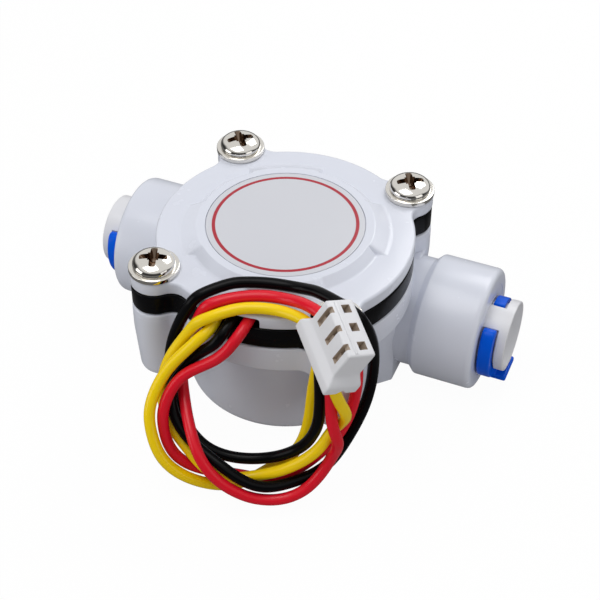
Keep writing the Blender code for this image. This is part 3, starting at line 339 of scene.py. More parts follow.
def skin(name: str, rings: np.ndarray, matrix: Matrix | None = None) -> Object:
    """A closed solid through rings of equally many points.

    Args:
        name: The object's name.
        rings: Rings by points by coordinates, top ring first, each counterclockwise from above.
        matrix: Where the shape lies.

    Returns:
        The closed shape.
    """
    rows, count = rings.shape[:2]
    faces = grid_faces(rows, count)
    faces.append(list(range(count)))
    faces.append(list(range(rows * count - 1, (rows - 1) * count - 1, -1)))
    return mesh_object(name, rings.reshape(-1, 3), faces, matrix)


def rim(edge: float) -> tuple[np.ndarray, np.ndarray]:
    """How far inside, and how far from the flat face, each ring of a rounded rim lies.

    At the angle a of the rounding these are edge * (1 - sin a) and edge * (1 - cos a).
    """
    a = np.linspace(0.0, math.pi / 2, RIM_STEPS + 1) if edge else np.array([math.pi / 2])
    return edge * (1 - np.sin(a)), edge * (1 - np.cos(a))


def slab(
    name: str,
    outline: np.ndarray,
    low: float,
    high: float,
    edge: float = 0.0,
    matrix: Matrix | None = None,
) -> Object:
    """A flat outline made solid between two heights, its rims rounded.

    Args:
        name: The object's name.
        outline: Points counterclockwise from above, one row each.
        low: Lower face along local Z.
        high: Upper face along local Z.
        edge: Radius of both rims.
        matrix: Where the shape lies.

    Returns:
        The closed shape.
    """
    outline = np.asarray(outline, float)
    tangent = np.roll(outline, -1, axis=0) - np.roll(outline, 1, axis=0)
    normal = np.column_stack([tangent[:, 1], -tangent[:, 0]])
    normal /= np.maximum(np.linalg.norm(normal, axis=1, keepdims=True), 1e-12)
    inset, drop = rim(edge)
    insets = np.concatenate([inset, inset[::-1]])
    heights = np.concatenate([high - drop, low + drop[::-1]])
    rings = outline[None] - insets[:, None, None] * normal[None]
    rings = np.dstack([rings, np.broadcast_to(heights[:, None], rings.shape[:2])])
    return skin(name, rings, matrix)


def block(
    name: str,
    low: Sequence[float],
    high: Sequence[float],
    matrix: Matrix | None = None,
    edge: float = 0.0,
) -> Object:
    """A box between two corners, its edges rounded if asked."""
    shape = bmesh.new()
    low, high = Vector(low) * MM, Vector(high) * MM
    size = Matrix.Diagonal((*(high - low), 1.0))
    bmesh.ops.create_cube(shape, size=1.0, matrix=Matrix.Translation((low + high) / 2) @ size)
    if edge:
        bmesh.ops.bevel(
            shape, geom=shape.edges[:], offset=edge * MM, segments=3, profile=0.5, affect="EDGES"
        )
    if matrix is not None:
        bmesh.ops.transform(shape, matrix=matrix, verts=shape.verts)
    mesh = bpy.data.meshes.new(name)
    shape.to_mesh(mesh)
    shape.free()
    return add_object(name, mesh)


def rod(
    name: str, radius: float, low: float, high: float, x: float = 0.0, y: float = 0.0, segments: int = 48
) -> Object:
    """An upright cylinder."""
    profile = [(0, high), (radius, high), (radius, low), (0, low)]
    return lathe(name, profile, at(x, y, 0), segments)


def combine(obj: Object, operation: str, tools: Sequence[Object]) -> None:
    """Booleans each tool with an object, bakes the result and removes the tools."""
    for tool in tools:
        step = obj.modifiers.new(tool.name, "BOOLEAN")
        step.operation = operation
        step.solver = "MANIFOLD"
        step.object = tool
    graph = bpy.context.evaluated_depsgraph_get()
    graph.update()
    baked = bpy.data.meshes.new_from_object(obj.evaluated_get(graph))
    obj.modifiers.clear()
    obj.data = baked
    for tool in tools:
        bpy.data.objects.remove(tool, do_unlink=True)


def join(obj: Object, *tools: Object) -> None:
    """Adds solids to an object."""
    combine(obj, "UNION", tools)


def cut(obj: Object, *tools: Object) -> None:
    """Takes solids away from an object."""
    combine(obj, "DIFFERENCE", tools)


def smooth(obj: Object, ridge: float = 30.0) -> None:
    """Shades an object smooth up to a ridge angle in degrees."""
    obj.data.shade_smooth()
    obj.data.set_sharp_from_angle(angle=math.radians(ridge))


def screw_holes(low: float, high: float) -> list[Object]:
    """One clearance hole for each screw."""
    return [rod(f"hole_{name}", BODY.screw_hole, low, high, *spot) for name, spot in BODY.screws.items()]


@dataclass
class Tree:
    """A short way to add and link shader nodes.

    Args:
        tree: The node tree that is filled.
    """

    tree: bpy.types.NodeTree

    def add(self, kind: str, **settings: object) -> bpy.types.Node:
        """A new node with these properties set."""
        node = self.tree.nodes.new(kind)
        for key, value in settings.items():
            setattr(node, key, value)
        return node

    def link(self, source: Socket, target: Socket) -> None:
        """Joins two sockets."""
        self.tree.links.new(source, target)

    def math(self, operation: str, *values: object) -> Socket:
        """A maths node's output; each value is a number or a socket."""
        node = self.add("ShaderNodeMath", operation=operation)
        for socket, value in zip(node.inputs, values):
            if isinstance(value, Socket):
                self.link(value, socket)
            else:
                socket.default_value = value
        return node.outputs[0]

    def mix(self, factor: Socket, *colours: Triple | Socket) -> Socket:
        """The output of a mix of two colours; a node of this kind keeps them in sockets 6 and 7."""
        node = self.add("ShaderNodeMix", data_type="RGBA")
        self.link(factor, node.inputs[0])
        for socket, colour in zip(node.inputs[6:8], colours):
            if isinstance(colour, Socket):
                self.link(colour, socket)
            else:
                socket.default_value = (*colour, 1.0)
        return node.outputs[2]

    def noise(self, coordinates: Socket, size_mm: float, detail: float) -> Socket:
        """Noise whose lumps are about size_mm across."""
        node = self.add("ShaderNodeTexNoise", noise_dimensions="3D")
        node.inputs["Scale"].default_value = 1.0 / (size_mm * MM)
        node.inputs["Detail"].default_value = detail
        self.link(coordinates, node.inputs["Vector"])
        return node.outputs["Fac"]


def surface_group() -> bpy.types.NodeTree:
    """The shared surface: cloudy colour, uneven gloss and a fine grain.

    Returns:
        A group that puts out a colour, a roughness and a normal.
    """
    name = "moulded_surface"
    if name in bpy.data.node_groups:
        return bpy.data.node_groups[name]
    group = bpy.data.node_groups.new(name, "ShaderNodeTree")
    for way, kind, sockets in (
        ("INPUT", "Color", ("Colour", "Shade")),
        ("INPUT", "Float", ("Mottle", "Roughness", "Wear", "Grain")),
        ("OUTPUT", "Color", ("Colour",)),
        ("OUTPUT", "Float", ("Roughness",)),
        ("OUTPUT", "Vector", ("Normal",)),
    ):
        for socket in sockets:
            group.interface.new_socket(socket, in_out=way, socket_type=f"NodeSocket{kind}")
    tree = Tree(group)
    given = tree.add("NodeGroupInput")
    out = tree.add("NodeGroupOutput")
    where = tree.add("ShaderNodeTexCoord").outputs["Object"]
    clouds = tree.noise(where, CLOUDS, 2.0)
    patches = tree.noise(where, PATCHES, 3.0)
    grain = tree.noise(where, GRAIN, 2.0)
    amount = tree.math("MULTIPLY", clouds, given.outputs["Mottle"])
    tree.link(tree.mix(amount, given.outputs["Colour"], given.outputs["Shade"]), out.inputs["Colour"])
    swing = tree.math("MULTIPLY", tree.math("SUBTRACT", patches, 0.5), given.outputs["Wear"])
    tree.link(tree.math("ADD", given.outputs["Roughness"], swing), out.inputs["Roughness"])
    bump = tree.add("ShaderNodeBump")
    bump.inputs["Distance"].default_value = BUMP * MM
    tree.link(given.outputs["Grain"], bump.inputs["Strength"])
    tree.link(grain, bump.inputs["Height"])
    tree.link(bump.outputs["Normal"], out.inputs["Normal"])
    return group


@dataclass(frozen=True)
class Finish:
    """A surface of one colour that wanders a little towards a second one.

    Args:
        slot: The record's material slot.
        colour: Linear base colour.
        shade: The colour that the clouds lead to.
        roughness: Mean roughness.
        metallic: 1 for metal.
        mottle: How far the colour wanders.
        wear: How far the roughness wanders.
        grain: Strength of the fine bump.
        coat: Weight of a clear coat.
        coat_roughness: The coat's roughness.
        specular: Strength of the plain reflection, 0.5 for most plastics.
        hollow: Painted shade, a darker colour laid over recesses where the piece marks them.
    """

    slot: str
    colour: Triple
    shade: Triple
    roughness: float = 0.3
    metallic: float = 0.0
    mottle: float = 0.5
    wear: float = 0.08
    grain: float = 0.06
    coat: float = 0.0
    coat_roughness: float = 0.12
    specular: float = 0.5
    hollow: Triple | None = None

    def build(self) -> bpy.types.Material:
        """The material, made once."""
        name = f"{self.slot}_finish"
        found = bpy.data.materials.get(name)
        if found:
            return found
        made = bpy.data.materials.new(name)
        made.use_nodes = True
        tree = Tree(made.node_tree)
        shader = made.node_tree.nodes["Principled BSDF"]
        surface = tree.add("ShaderNodeGroup", node_tree=surface_group())
        given = (*self.colour, 1.0), (*self.shade, 1.0), self.mottle, self.roughness, self.wear, self.grain
        for socket, value in zip(surface.inputs, given):
            socket.default_value = value
        tree.link(self.tint(tree, surface.outputs["Colour"]), shader.inputs["Base Color"])
        for socket in ("Roughness", "Normal"):
            tree.link(surface.outputs[socket], shader.inputs[socket])
        for socket, value in (
            ("Metallic", self.metallic),
            ("Specular IOR Level", self.specular),
            ("Coat Weight", self.coat),
            ("Coat Roughness", self.coat_roughness),
        ):
            shader.inputs[socket].default_value = value
        return made

    def tint(self, tree: Tree, colour: Socket) -> Socket:
        """The base colour, with the painted shade colour over it where the piece marks a recess."""
        if self.hollow is None:
            return colour
        # Painted shade: marked recess faces take the darker colour.
        mask = tree.add("ShaderNodeAttribute", attribute_name=RECESS_SHADE_MARK)
        return tree.mix(mask.outputs["Fac"], colour, self.hollow)


@dataclass(frozen=True)
class LabelFinish(Finish):
    """Silvery film with a plain printed ring.

    Args:
        ring_radius: The ring's middle, in millimetres from the axis.
        ring_width: The ring's width in millimetres.
        ring_colour: Linear colour of the ink.
        ring_blur: Half the width over which the ring's edge fades, in millimetres.
    """

    ring_radius: float = 9.4
    ring_width: float = 0.46
    ring_colour: Triple = (0.40, 0.001, 0.018)
    ring_blur: float = 0.03

    def tint(self, tree: Tree, colour: Socket) -> Socket:
        """Lays the ring over the film where sqrt(x^2 + y^2) is near its radius."""
        where = tree.add("ShaderNodeSeparateXYZ")
        tree.link(tree.add("ShaderNodeTexCoord").outputs["Object"], where.inputs[0])
        squares = [tree.math("POWER", where.outputs[axis], 2.0) for axis in range(2)]
        radius = tree.math("SQRT", tree.math("ADD", *squares))
        away = tree.math("ABSOLUTE", tree.math("SUBTRACT", radius, self.ring_radius * MM))
        ramp = tree.add("ShaderNodeMapRange")
        tree.link(away, ramp.inputs["Value"])
        edge, blur = self.ring_width / 2, self.ring_blur
        ends = (edge - blur) * MM, (edge + blur) * MM, 1.0, 0.0
        for socket, value in zip(("From Min", "From Max", "To Min", "To Max"), ends):
            ramp.inputs[socket].default_value = value
        return tree.mix(ramp.outputs["Result"], colour, self.ring_colour)


WHITE = Finish(
    "white_acetal", (0.72, 0.745, 0.83), (0.68, 0.705, 0.79), 0.27, mottle=0.3, wear=0.02, grain=0.012
)
# The connector's nylon; its recess colour is painted shade inside the ways and slots.
PALE = Finish(
    "white_nylon", (0.76, 0.765, 0.80), (0.73, 0.725, 0.74), 0.34, grain=0.04, hollow=(0.50, 0.41, 0.33)
)
BLACK = Finish("black_acetal", (0.003, 0.003, 0.0035), (0.006, 0.006, 0.007), 0.25, specular=0.09)
FILM = LabelFinish(
    "label_film", (0.62, 0.63, 0.68), (0.655, 0.665, 0.705), 0.24, grain=0.02, coat=0.3
)
BLUE = Finish("blue_acetal", (0.0, 0.11, 0.76), (0.0, 0.08, 0.62), 0.2, specular=0.12)
RUBBER = Finish("nitrile_rubber", (0.012, 0.012, 0.012), (0.02, 0.02, 0.02), 0.6)
NICKEL = Finish(
    "nickel_plated_steel",
    (0.80, 0.775, 0.73),
    (0.70, 0.67, 0.61),
    0.10,
    metallic=1.0,
    wear=0.05,
    grain=0.03,
    # Painted shade: the faces inside the cross recess are laid over with this dark brown.
    hollow=(0.26, 0.19, 0.14),
)
STEEL = Finish("stainless_steel", (0.60, 0.60, 0.61), (0.50, 0.50, 0.52), 0.28, metallic=1.0)
TIN = Finish("tinned_brass", (0.70, 0.69, 0.66), (0.60, 0.58, 0.50), 0.3, metallic=1.0)
FERRITE = Finish("ferrite_magnet", (0.035, 0.035, 0.04), (0.06, 0.06, 0.065), 0.6, grain=0.3)
GREEN = Finish("circuit_board", (0.012, 0.16, 0.05), (0.02, 0.22, 0.07), 0.4)
EPOXY = Finish("epoxy_package", (0.015, 0.015, 0.016), (0.03, 0.03, 0.03), 0.5, grain=0.2)
CERAMIC = Finish("chip_ceramic", (0.46, 0.34, 0.20), (0.38, 0.27, 0.16), 0.5)
RED = Finish("wire_red", (0.78, 0.008, 0.026), (0.68, 0.006, 0.018), 0.22, specular=0.3)
INK = Finish("wire_black", (0.002, 0.002, 0.0025), (0.005, 0.005, 0.006), 0.20, specular=0.10)
YELLOW = Finish("wire_yellow", (0.98, 0.70, 0.002), (0.92, 0.60, 0.002), 0.22, specular=0.3)


def mark_hollows(obj: Object, inside: np.ndarray) -> None:
    """Stores which faces lie in a recess and get painted shade, 1 for those and 0 elsewhere."""
    mark = obj.data.attributes.new(RECESS_SHADE_MARK, "FLOAT", "FACE")
    mark.data.foreach_set("value", inside.astype(np.float32))


def face_centres(obj: Object, matrix: Matrix) -> np.ndarray:
    """The faces' centres in millimetres in a local frame, one row each."""
    centres = np.empty(3 * len(obj.data.polygons))
    obj.data.polygons.foreach_get("center", centres)
    turn = np.array(matrix.inverted())
    return (centres.reshape(-1, 3) @ turn[:3, :3].T + turn[:3, 3]) / MM


def settle_piece(obj: Object, finish: Finish, node: str, ridge: float = 30.0) -> Object:
    """Gives a piece its finish and the housing as its body, and hides the CAD node it stands for.

    Args:
        obj: The piece, already in place.
        finish: Its finish.
        node: The CAD node that it replaces.
        ridge: Shading stays sharp beyond this angle in degrees.

    Returns:
        The piece.
    """
    obj.data.materials.clear()
    obj.data.materials.append(finish.build())
    if obj.type == "MESH":
        smooth(obj, ridge)
    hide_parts(node)
    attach(obj, HOUSING_BODY)
    return obj


@dataclass
class LowerHousing:
    """Cup, flange, both ports and the screw columns, moulded in one piece.

    Args:
        pivot: Radius and height of the boss under the wheel.
        seal_groove: Inner radius, outer radius and depth.
        column: Radius under the flange, radius at the foot and the foot's height.
        column_tip: Radius of the foot's rounding.
        root: Half length, reach to the front and bottom of the block around the ports.
        root_edges: Radius of the block's corners and of its rims.
        web: Width and lower end of the rib between the cup and a column.
        socket: Radius, inner end and outer edge of a port's wide end.
        neck: Radius between the sockets, and the length of the slope up to a socket.
        neck_fillets: Radii at the slope's two ends.
        seats: Radius and outer end of each step of the bore: for the cartridge, the seal,
            the tube and the water.
        screw_floor: How far down the screws' holes reach.
    """

    cup_edge: float = 1.6
    cup_draft: float = 0.35
    flange_edge: float = 0.35
    chamber_radius: float = 12.3
    chamber_floor: float = 2.0
    pivot: Pair = (1.8, 0.8)
    seal_groove: Triple = (13.65, 15.35, 1.5)
    column: Triple = (3.22, 2.75, 7.1)
    column_tip: float = 1.4
    root: Triple = (15.6, 9.0, 1.4)
    root_chamfer: float = 1.6
    root_edges: Pair = (0.35, 0.3)
    web: Pair = (3.0, 9.6)
    port_face: float = 26.6
    socket: Triple = (8.5, 18.4, 0.9)
    neck: Pair = (7.6, 0.9)
    neck_fillets: Pair = (0.45, 0.4)
    seats: tuple[Pair, ...] = ((6.5, 27.6), (4.975, 20.1), (3.325, 17.8), (2.5, 13.4))
    screw_floor: float = 11.6

    def barrel(self) -> Object:
        """The outside of both ports, one turned bar through the body."""
        radius, start, edge = self.socket
        neck, slope = self.neck
        half = [
            (0.0, self.port_face),
            (radius, self.port_face),
            (radius, start),
            (neck, start - slope),
            (neck, 0.0),
        ]
        radii = [0.0, edge, *self.neck_fillets, 0.0]
        mirrored = [(r, -x) for r, x in reversed(half[:-1])]
        profile = rounded(half + mirrored, radii + radii[-2::-1])
        return lathe("port_barrel", profile, along_x(1), segments=128)

    def bore(self) -> Object:
        """The bore through both ports, with the seats for seal and cartridge."""
        half = [(0.0, self.seats[0][1])]
        for (radius, end), (_, next_end) in zip(self.seats, self.seats[1:]):
            half += [(radius, end), (radius, next_end)]
        half.append(self.seats[-1])
        mirrored = [(r, -x) for r, x in reversed(half)]
        return lathe("port_bore", half + mirrored, along_x(1))

    def port_root(self) -> Object:
        """The block around the ports' axis, its four vertical corners cut or rounded."""
        half, front, bottom = self.root
        corner, edge = self.root_edges
        cut_off, near = self.root_chamfer, BODY.port_y - front
        outline = [
            (-half + cut_off, near),
            (half - cut_off, near),
            (half, near + cut_off),
            (half, BODY.screw_y),
            (-half, BODY.screw_y),
            (-half, near + cut_off),
        ]
        outline = rounded(outline, corner, closed=True, steps=3)
        return slab("port_root", outline, bottom, BODY.cup_height + OVER, edge)

    def chamber(self) -> Object:
        """The cavity that the wheel turns in, around the boss with the shaft's hole."""
        pivot_radius, pivot_height = self.pivot
        floor, above = self.chamber_floor, BODY.flange_top + OVER
        profile = [
            (0, above),
            (self.chamber_radius, above),
            (self.chamber_radius, floor),
            (pivot_radius, floor),
            (pivot_radius, floor + pivot_height),
            (BODY.shaft_hole, floor + pivot_height),
            (BODY.shaft_hole, floor / 2),
            (0, floor / 2),
        ]
        return lathe("chamber", profile, segments=128)

    def build(self) -> Object:
        """Makes the moulding.

        Returns:
            The finished piece.
        """
        top, above = BODY.flange_top - OVER, BODY.flange_top + OVER
        side = [(0, top), (BODY.cup_radius, top), (BODY.cup_radius - self.cup_draft, 0), (0, 0)]
        cup = lathe("cup", rounded(side, [0, 0, self.cup_edge, 0], steps=8), segments=160)
        housing = slab("housing", BODY.outline(), BODY.cup_height, BODY.flange_top, self.flange_edge)
        join(housing, cup, self.barrel(), self.port_root())
        radius, foot, tip = self.column
        width, low = self.web
        for name, (x, y) in BODY.screws.items():
            side = [(0, top), (radius, top), (radius, BODY.cup_height), (foot, tip), (0, tip)]
            profile = rounded(side, [0, 0, 0, self.column_tip, 0], steps=8)
            web = block(
                f"web_{name}",
                (BODY.cup_radius - OVER, -width / 2, low),
                (math.hypot(x, y) - OVER, width / 2, BODY.cup_height + OVER),
                Matrix.Rotation(math.atan2(y, x), 4, "Z"),
            )
            join(housing, lathe(f"column_{name}", profile, at(x, y, 0), segments=64), web)
        inner, outer, depth = self.seal_groove
        floor = BODY.flange_top - depth
        loop = [(outer, above), (outer, floor), (inner, floor), (inner, above)]
        groove = lathe("groove", loop, segments=128, closed=True)
        cut(housing, self.chamber(), groove, self.bore(), *screw_holes(self.screw_floor, above))
        return settle_piece(housing, WHITE, "lower_housing")


@dataclass
class SealingPlate:
    """The black middle plate, lid of the chamber and floor of the electronics bay.

    Args:
        inset: How far its rim stands back from the flange's.
        spigot: Outer radius, inner radius and depth of the ring that centres it.
        hub: Radius and lower end of the wheel's upper bearing.
        membrane: Thickness under the bay.
        posts: Where the board's posts stand.
        post: A post's radius, and how far it reaches below and above the bay's floor.
        overlap: How far the spigot and the hub reach into the plate.
    """

    edge: float = 0.3
    inset: float = 0.05
    spigot: Triple = (12.15, 11.25, 0.8)
    hub: Pair = (1.8, 17.6)
    membrane: float = 1.1
    posts: tuple[Pair, ...] = ((-5.6, 4.0), (5.6, 4.0), (0.0, -4.0))
    post: Triple = (1.2, 0.3, 0.4)
    overlap: float = 0.5

    def build(self) -> Object:
        """Makes the plate.

        Returns:
            The finished piece.
        """
        low, high = BODY.plate_bottom, BODY.plate_top
        plate = slab("plate", BODY.outline(self.inset), low, high, self.edge)
        outer, inner, depth = self.spigot
        hub, tip = self.hub
        root = low + self.overlap
        loop = [(outer, root), (outer, low - depth), (inner, low - depth), (inner, root)]
        join(plate, lathe("spigot", loop, segments=128, closed=True), rod("hub", hub, tip, root))
        floor = low + self.membrane
        cut(
            plate,
            rod("bay", BODY.bay_radius, floor, high + OVER, segments=128),
            rod("shaft_hole", BODY.shaft_hole, tip - OVER, low),
            *screw_holes(low - OVER, high + OVER),
        )
        radius, below, above = self.post
        ends = floor - below, floor + above
        join(plate, *(rod(f"post_{i}", radius, *ends, *spot) for i, spot in enumerate(self.posts)))
        return settle_piece(plate, BLACK, "sealing_plate")


@dataclass
class TopCap:
    """The white lid with its stepped round platform and the wire slot.

    Args:
        platform: Radius of the platform's top.
        foot_wide: Radius of its foot in every second eighth.
        foot_narrow: Radius of its foot in the others.
        flat_inset: How far inside that radius the way out to the foot begins.
        shoulder: Where the slope starts and ends, in shares of that way.
        shoulder_fillets: Radii at the slope's two ends.
        sunk: How far the platform's foot reaches into the lid.
        label_gap: Room around the label.
        slot: Width, height and corner radius of the wires' slot.
        step_degrees: How many degrees the foot takes from one radius to the other.
        angle_step: Degrees between two points of the platform's outline.
    """

    edge: float = 0.4
    platform: float = 11.7
    foot_wide: float = 14.1
    foot_narrow: float = 12.9
    flat_inset: float = 0.35
    shoulder: Pair = (0.12, 0.88)
    shoulder_fillets: Pair = (0.7, 0.35)
    sunk: float = 0.5
    label_recess: float = 0.25
    label_gap: float = 0.1
    bay_ceiling: float = 23.7
    slot: Triple = (7.0, 1.65, 0.5)
    step_degrees: float = 2.6
    angle_step: float = 0.75

    def platform_shape(self) -> Object:
        """The raised round part, whose skirt reaches out further in every second eighth.

        The foot's radius goes from narrow to wide with a smoothstep at each multiple of 45
        degrees, and the profile runs from the flat top down a rounded shoulder to the foot.

        Returns:
            The closed shape.
        """
        angles = np.radians(np.arange(0.0, 360.0, self.angle_step))
        turn = np.degrees(angles) % 90.0
        steps = (turn - np.array([[0.0], [90.0], [45.0]])) / self.step_degrees + 0.5
        start, end, fall = steps.clip(0, 1)
        rise = start + end
        wide = rise * rise * (3 - 2 * rise) - fall * fall * (3 - 2 * fall)
        foot = self.foot_narrow + (self.foot_wide - self.foot_narrow) * wide
        drop = BODY.cap_top - BODY.cap_rim
        first, last = self.shoulder
        past_foot = 1.6
        side = [(0, 0), (first, 0), (last, drop), (past_foot, drop)]
        shoulder = rounded(side, [0, *self.shoulder_fillets, 0], steps=6)
        share = np.clip(shoulder[:, 0], 0, 1)[:, None]
        radius = self.platform - self.flat_inset + share * (foot[None] - self.platform + self.flat_inset)
        axis = np.zeros_like(foot)
        radius = np.vstack([axis, radius[:-1], foot, foot, axis])
        under = BODY.cap_rim - self.sunk
        height = np.r_[BODY.cap_top, BODY.cap_top - shoulder[:-1, 1], BODY.cap_rim, under, under]
        level = np.broadcast_to(height[:, None], radius.shape)
        points = np.dstack([radius * np.cos(angles), radius * np.sin(angles), level])
        return mesh_object("platform", points.reshape(-1, 3), grid_faces(len(height), len(angles)))

    def wire_slot(self) -> Object:
        """The tool for the wires' way out, a slab that stands upright in the front wall."""
        width, height, corner = self.slot
        half, low, high = width / 2, BODY.cap_bottom - OVER, BODY.cap_bottom + height
        outline = [(-half, low), (half, low), (half, high), (-half, high)]
        outline = rounded(outline, [0, 0, corner, corner], closed=True)
        upright = Matrix(((1, 0, 0, 0), (0, 0, -1, 0), (0, 1, 0, 0), (0, 0, 0, 1)))
        return slab("wire_slot", outline, BODY.bay_radius - OVER, BODY.radius + OVER, matrix=upright)

    def build(self) -> Object:
        """Makes the lid.

        Returns:
            The finished piece.
        """
        low, high, top = BODY.cap_bottom, BODY.cap_rim, BODY.cap_top
        cap = slab("cap", BODY.outline(), low, high, self.edge)
        join(cap, self.platform_shape())
        recess = BODY.label_radius + self.label_gap
        cut(
            cap,
            rod("label_recess", recess, top - self.label_recess, top + OVER, segments=128),
            rod("cap_bay", BODY.bay_radius, low - OVER, self.bay_ceiling, segments=128),
            self.wire_slot(),
            *screw_holes(low - OVER, high + OVER),
        )
        return settle_piece(cap, WHITE, "top_cap")


@dataclass
class Label:
    """The round film on the lid."""

    bottom: float = 25.0
    thickness: float = 0.15
    edge: float = 0.05

    def build(self) -> Object:
        """Makes the disc.

        Returns:
            The finished piece.
        """
        radius, low, high = BODY.label_radius, self.bottom, self.bottom + self.thickness
        profile = rounded([(0, high), (radius, high), (radius, low), (0, low)], [0, self.edge, 0, 0])
        return settle_piece(lathe("label_disc", profile, segments=160), FILM, "label")


@dataclass
class Screw:
    """One cross-recessed screw with its plain washer.

    Args:
        place: Which lobe it stands on.
        turn: How far the cross is turned, in degrees.
        shank: Radius, lower end and length of the blunt point.
        head: Radius, height of the upright rim and height of the dome over it.
        squareness: Power of the dome's curve, 1 for an ellipse and less for a fuller one.
        shank_edges: Radii down the screw's side, from the head's rim to the tip.
        lift: Gap between washer and head.
        recess: Width, span and depth of the cross.
        recess_edge: Radius of the cross's corners.
        flare: Size of the cross above the crown, at it and at the bottom, as shares.
        pit: Upper and lower radius of the middle, and how far it goes below the cross.
        tool_tops: How far above the crown the cross and its middle start.
        washer: Radius and thickness.
        washer_edges: Radii of its outer upper, outer lower, inner lower and inner upper edge.
        hollow: Where shade is painted in the cross: faces this far below the dome,
        nearer to the axis than the second, and no further below the crown than the third.
    """

    place: str
    turn: float
    shank: Triple = (1.45, 12.65, 0.8)
    head: Triple = (2.78, 0.12, 1.3)
    squareness: float = 0.86
    shank_edges: Sizes = (0.0, 0.12, 0.0, 0.2, 0.2, 0.0)
    lift: float = 0.02
    recess: Triple = (0.92, 4.0, 1.25)
    recess_edge: float = 0.3
    flare: Triple = (1.15, 1.0, 0.5)
    pit: Triple = (1.25, 0.35, 0.15)
    tool_tops: Pair = (0.4, 0.5)
    washer: Pair = (3.3, 0.6)
    washer_edges: Sizes = (0.12, 0.06, 0.05, 0.05)
    seat: float = 24.1
    hollow: Triple = (0.06, 2.2, 1.5)

    def build(self) -> list[Object]:
        """Makes the washer and the screw.

        Returns:
            Both pieces.
        """
        spot = at(*BODY.screws[self.place], 0)
        under = self.seat + self.washer[1] + self.lift
        return [self.plain_washer(spot), self.pan_screw(spot, under)]

    def plain_washer(self, spot: Matrix) -> Object:
        """The washer, its edges rounded."""
        radius, thickness = self.washer
        low, high, bore = self.seat, self.seat + thickness, BODY.screw_hole
        loop = [(radius, high), (radius, low), (bore, low), (bore, high)]
        loop = rounded(loop, self.washer_edges, closed=True, steps=4)
        washer = lathe(f"plain_washer_{self.place}", loop, spot, segments=72, closed=True)
        return settle_piece(washer, NICKEL, f"washer_{self.place}")

    def pan_screw(self, spot: Matrix, under: float) -> Object:
        """The screw, whose dome has r = head * cos(t)^q and z = dome * sin(t)^q.

        Args:
            spot: The screw's axis.
            under: Height of the head's lower face.

        Returns:
            The finished piece.
        """
        head, side, dome = self.head
        crown = under + side + dome
        t = np.linspace(math.pi / 2, 0.0, 19)
        level = under + side + dome * np.sin(t) ** self.squareness
        cap = np.column_stack([head * np.cos(t).clip(0) ** self.squareness, level])
        radius, tip, point = self.shank
        shank = [(head, under), (radius, under), (radius, tip + point), (radius / 2, tip), (0, tip)]
        profile = np.vstack([cap, rounded([cap[-1], *shank], self.shank_edges)])
        screw = lathe(f"pan_screw_{self.place}", profile, spot, segments=80)
        turned = spot @ Matrix.Rotation(math.radians(self.turn), 4, "Z")
        cut(screw, *self.cross(crown, turned))
        # Marks the faces inside the cross, which get painted shade.
        below, reach, deep = self.hollow
        centre = face_centres(screw, turned)
        across = np.hypot(centre[:, 0], centre[:, 1])
        surface = np.interp(across, cap[:, 0], cap[:, 1])
        inside = (centre[:, 2] < surface - below) & (across < reach) & (centre[:, 2] > crown - deep)
        mark_hollows(screw, inside)
        return settle_piece(screw, NICKEL, f"screw_{self.place}", ridge=35)

    def cross(self, crown: float, spot: Matrix) -> list[Object]:
        """The recess: two wedges that narrow downwards and a pointed middle."""
        width, span, depth = self.recess
        wide, half, low = width / 2, span / 2, crown - depth
        outline = np.array([(-half, -wide), (half, -wide), (half, wide), (-half, wide)])
        rise, middle_rise = self.tool_tops
        rings = []
        for share, height in zip(self.flare, (crown + rise, crown, low)):
            ring = rounded(outline * share, self.recess_edge, closed=True)
            rings.append(np.column_stack([ring, np.full(len(ring), height)]))
        tools = [
            skin(f"wedge_{i}_{self.place}", np.stack(rings), spot @ Matrix.Rotation(spin, 4, "Z"))
            for i, spin in enumerate((0.0, math.pi / 2))
        ]
        wide, narrow, below = self.pit
        top, bottom = crown + middle_rise, low - below
        middle = [(0, top), (wide, top), (narrow, bottom), (0, bottom)]
        diagonal = spot @ Matrix.Rotation(math.pi / 4, 4, "Z")
        return [*tools, lathe(f"pit_{self.place}", middle, diagonal, segments=4)]


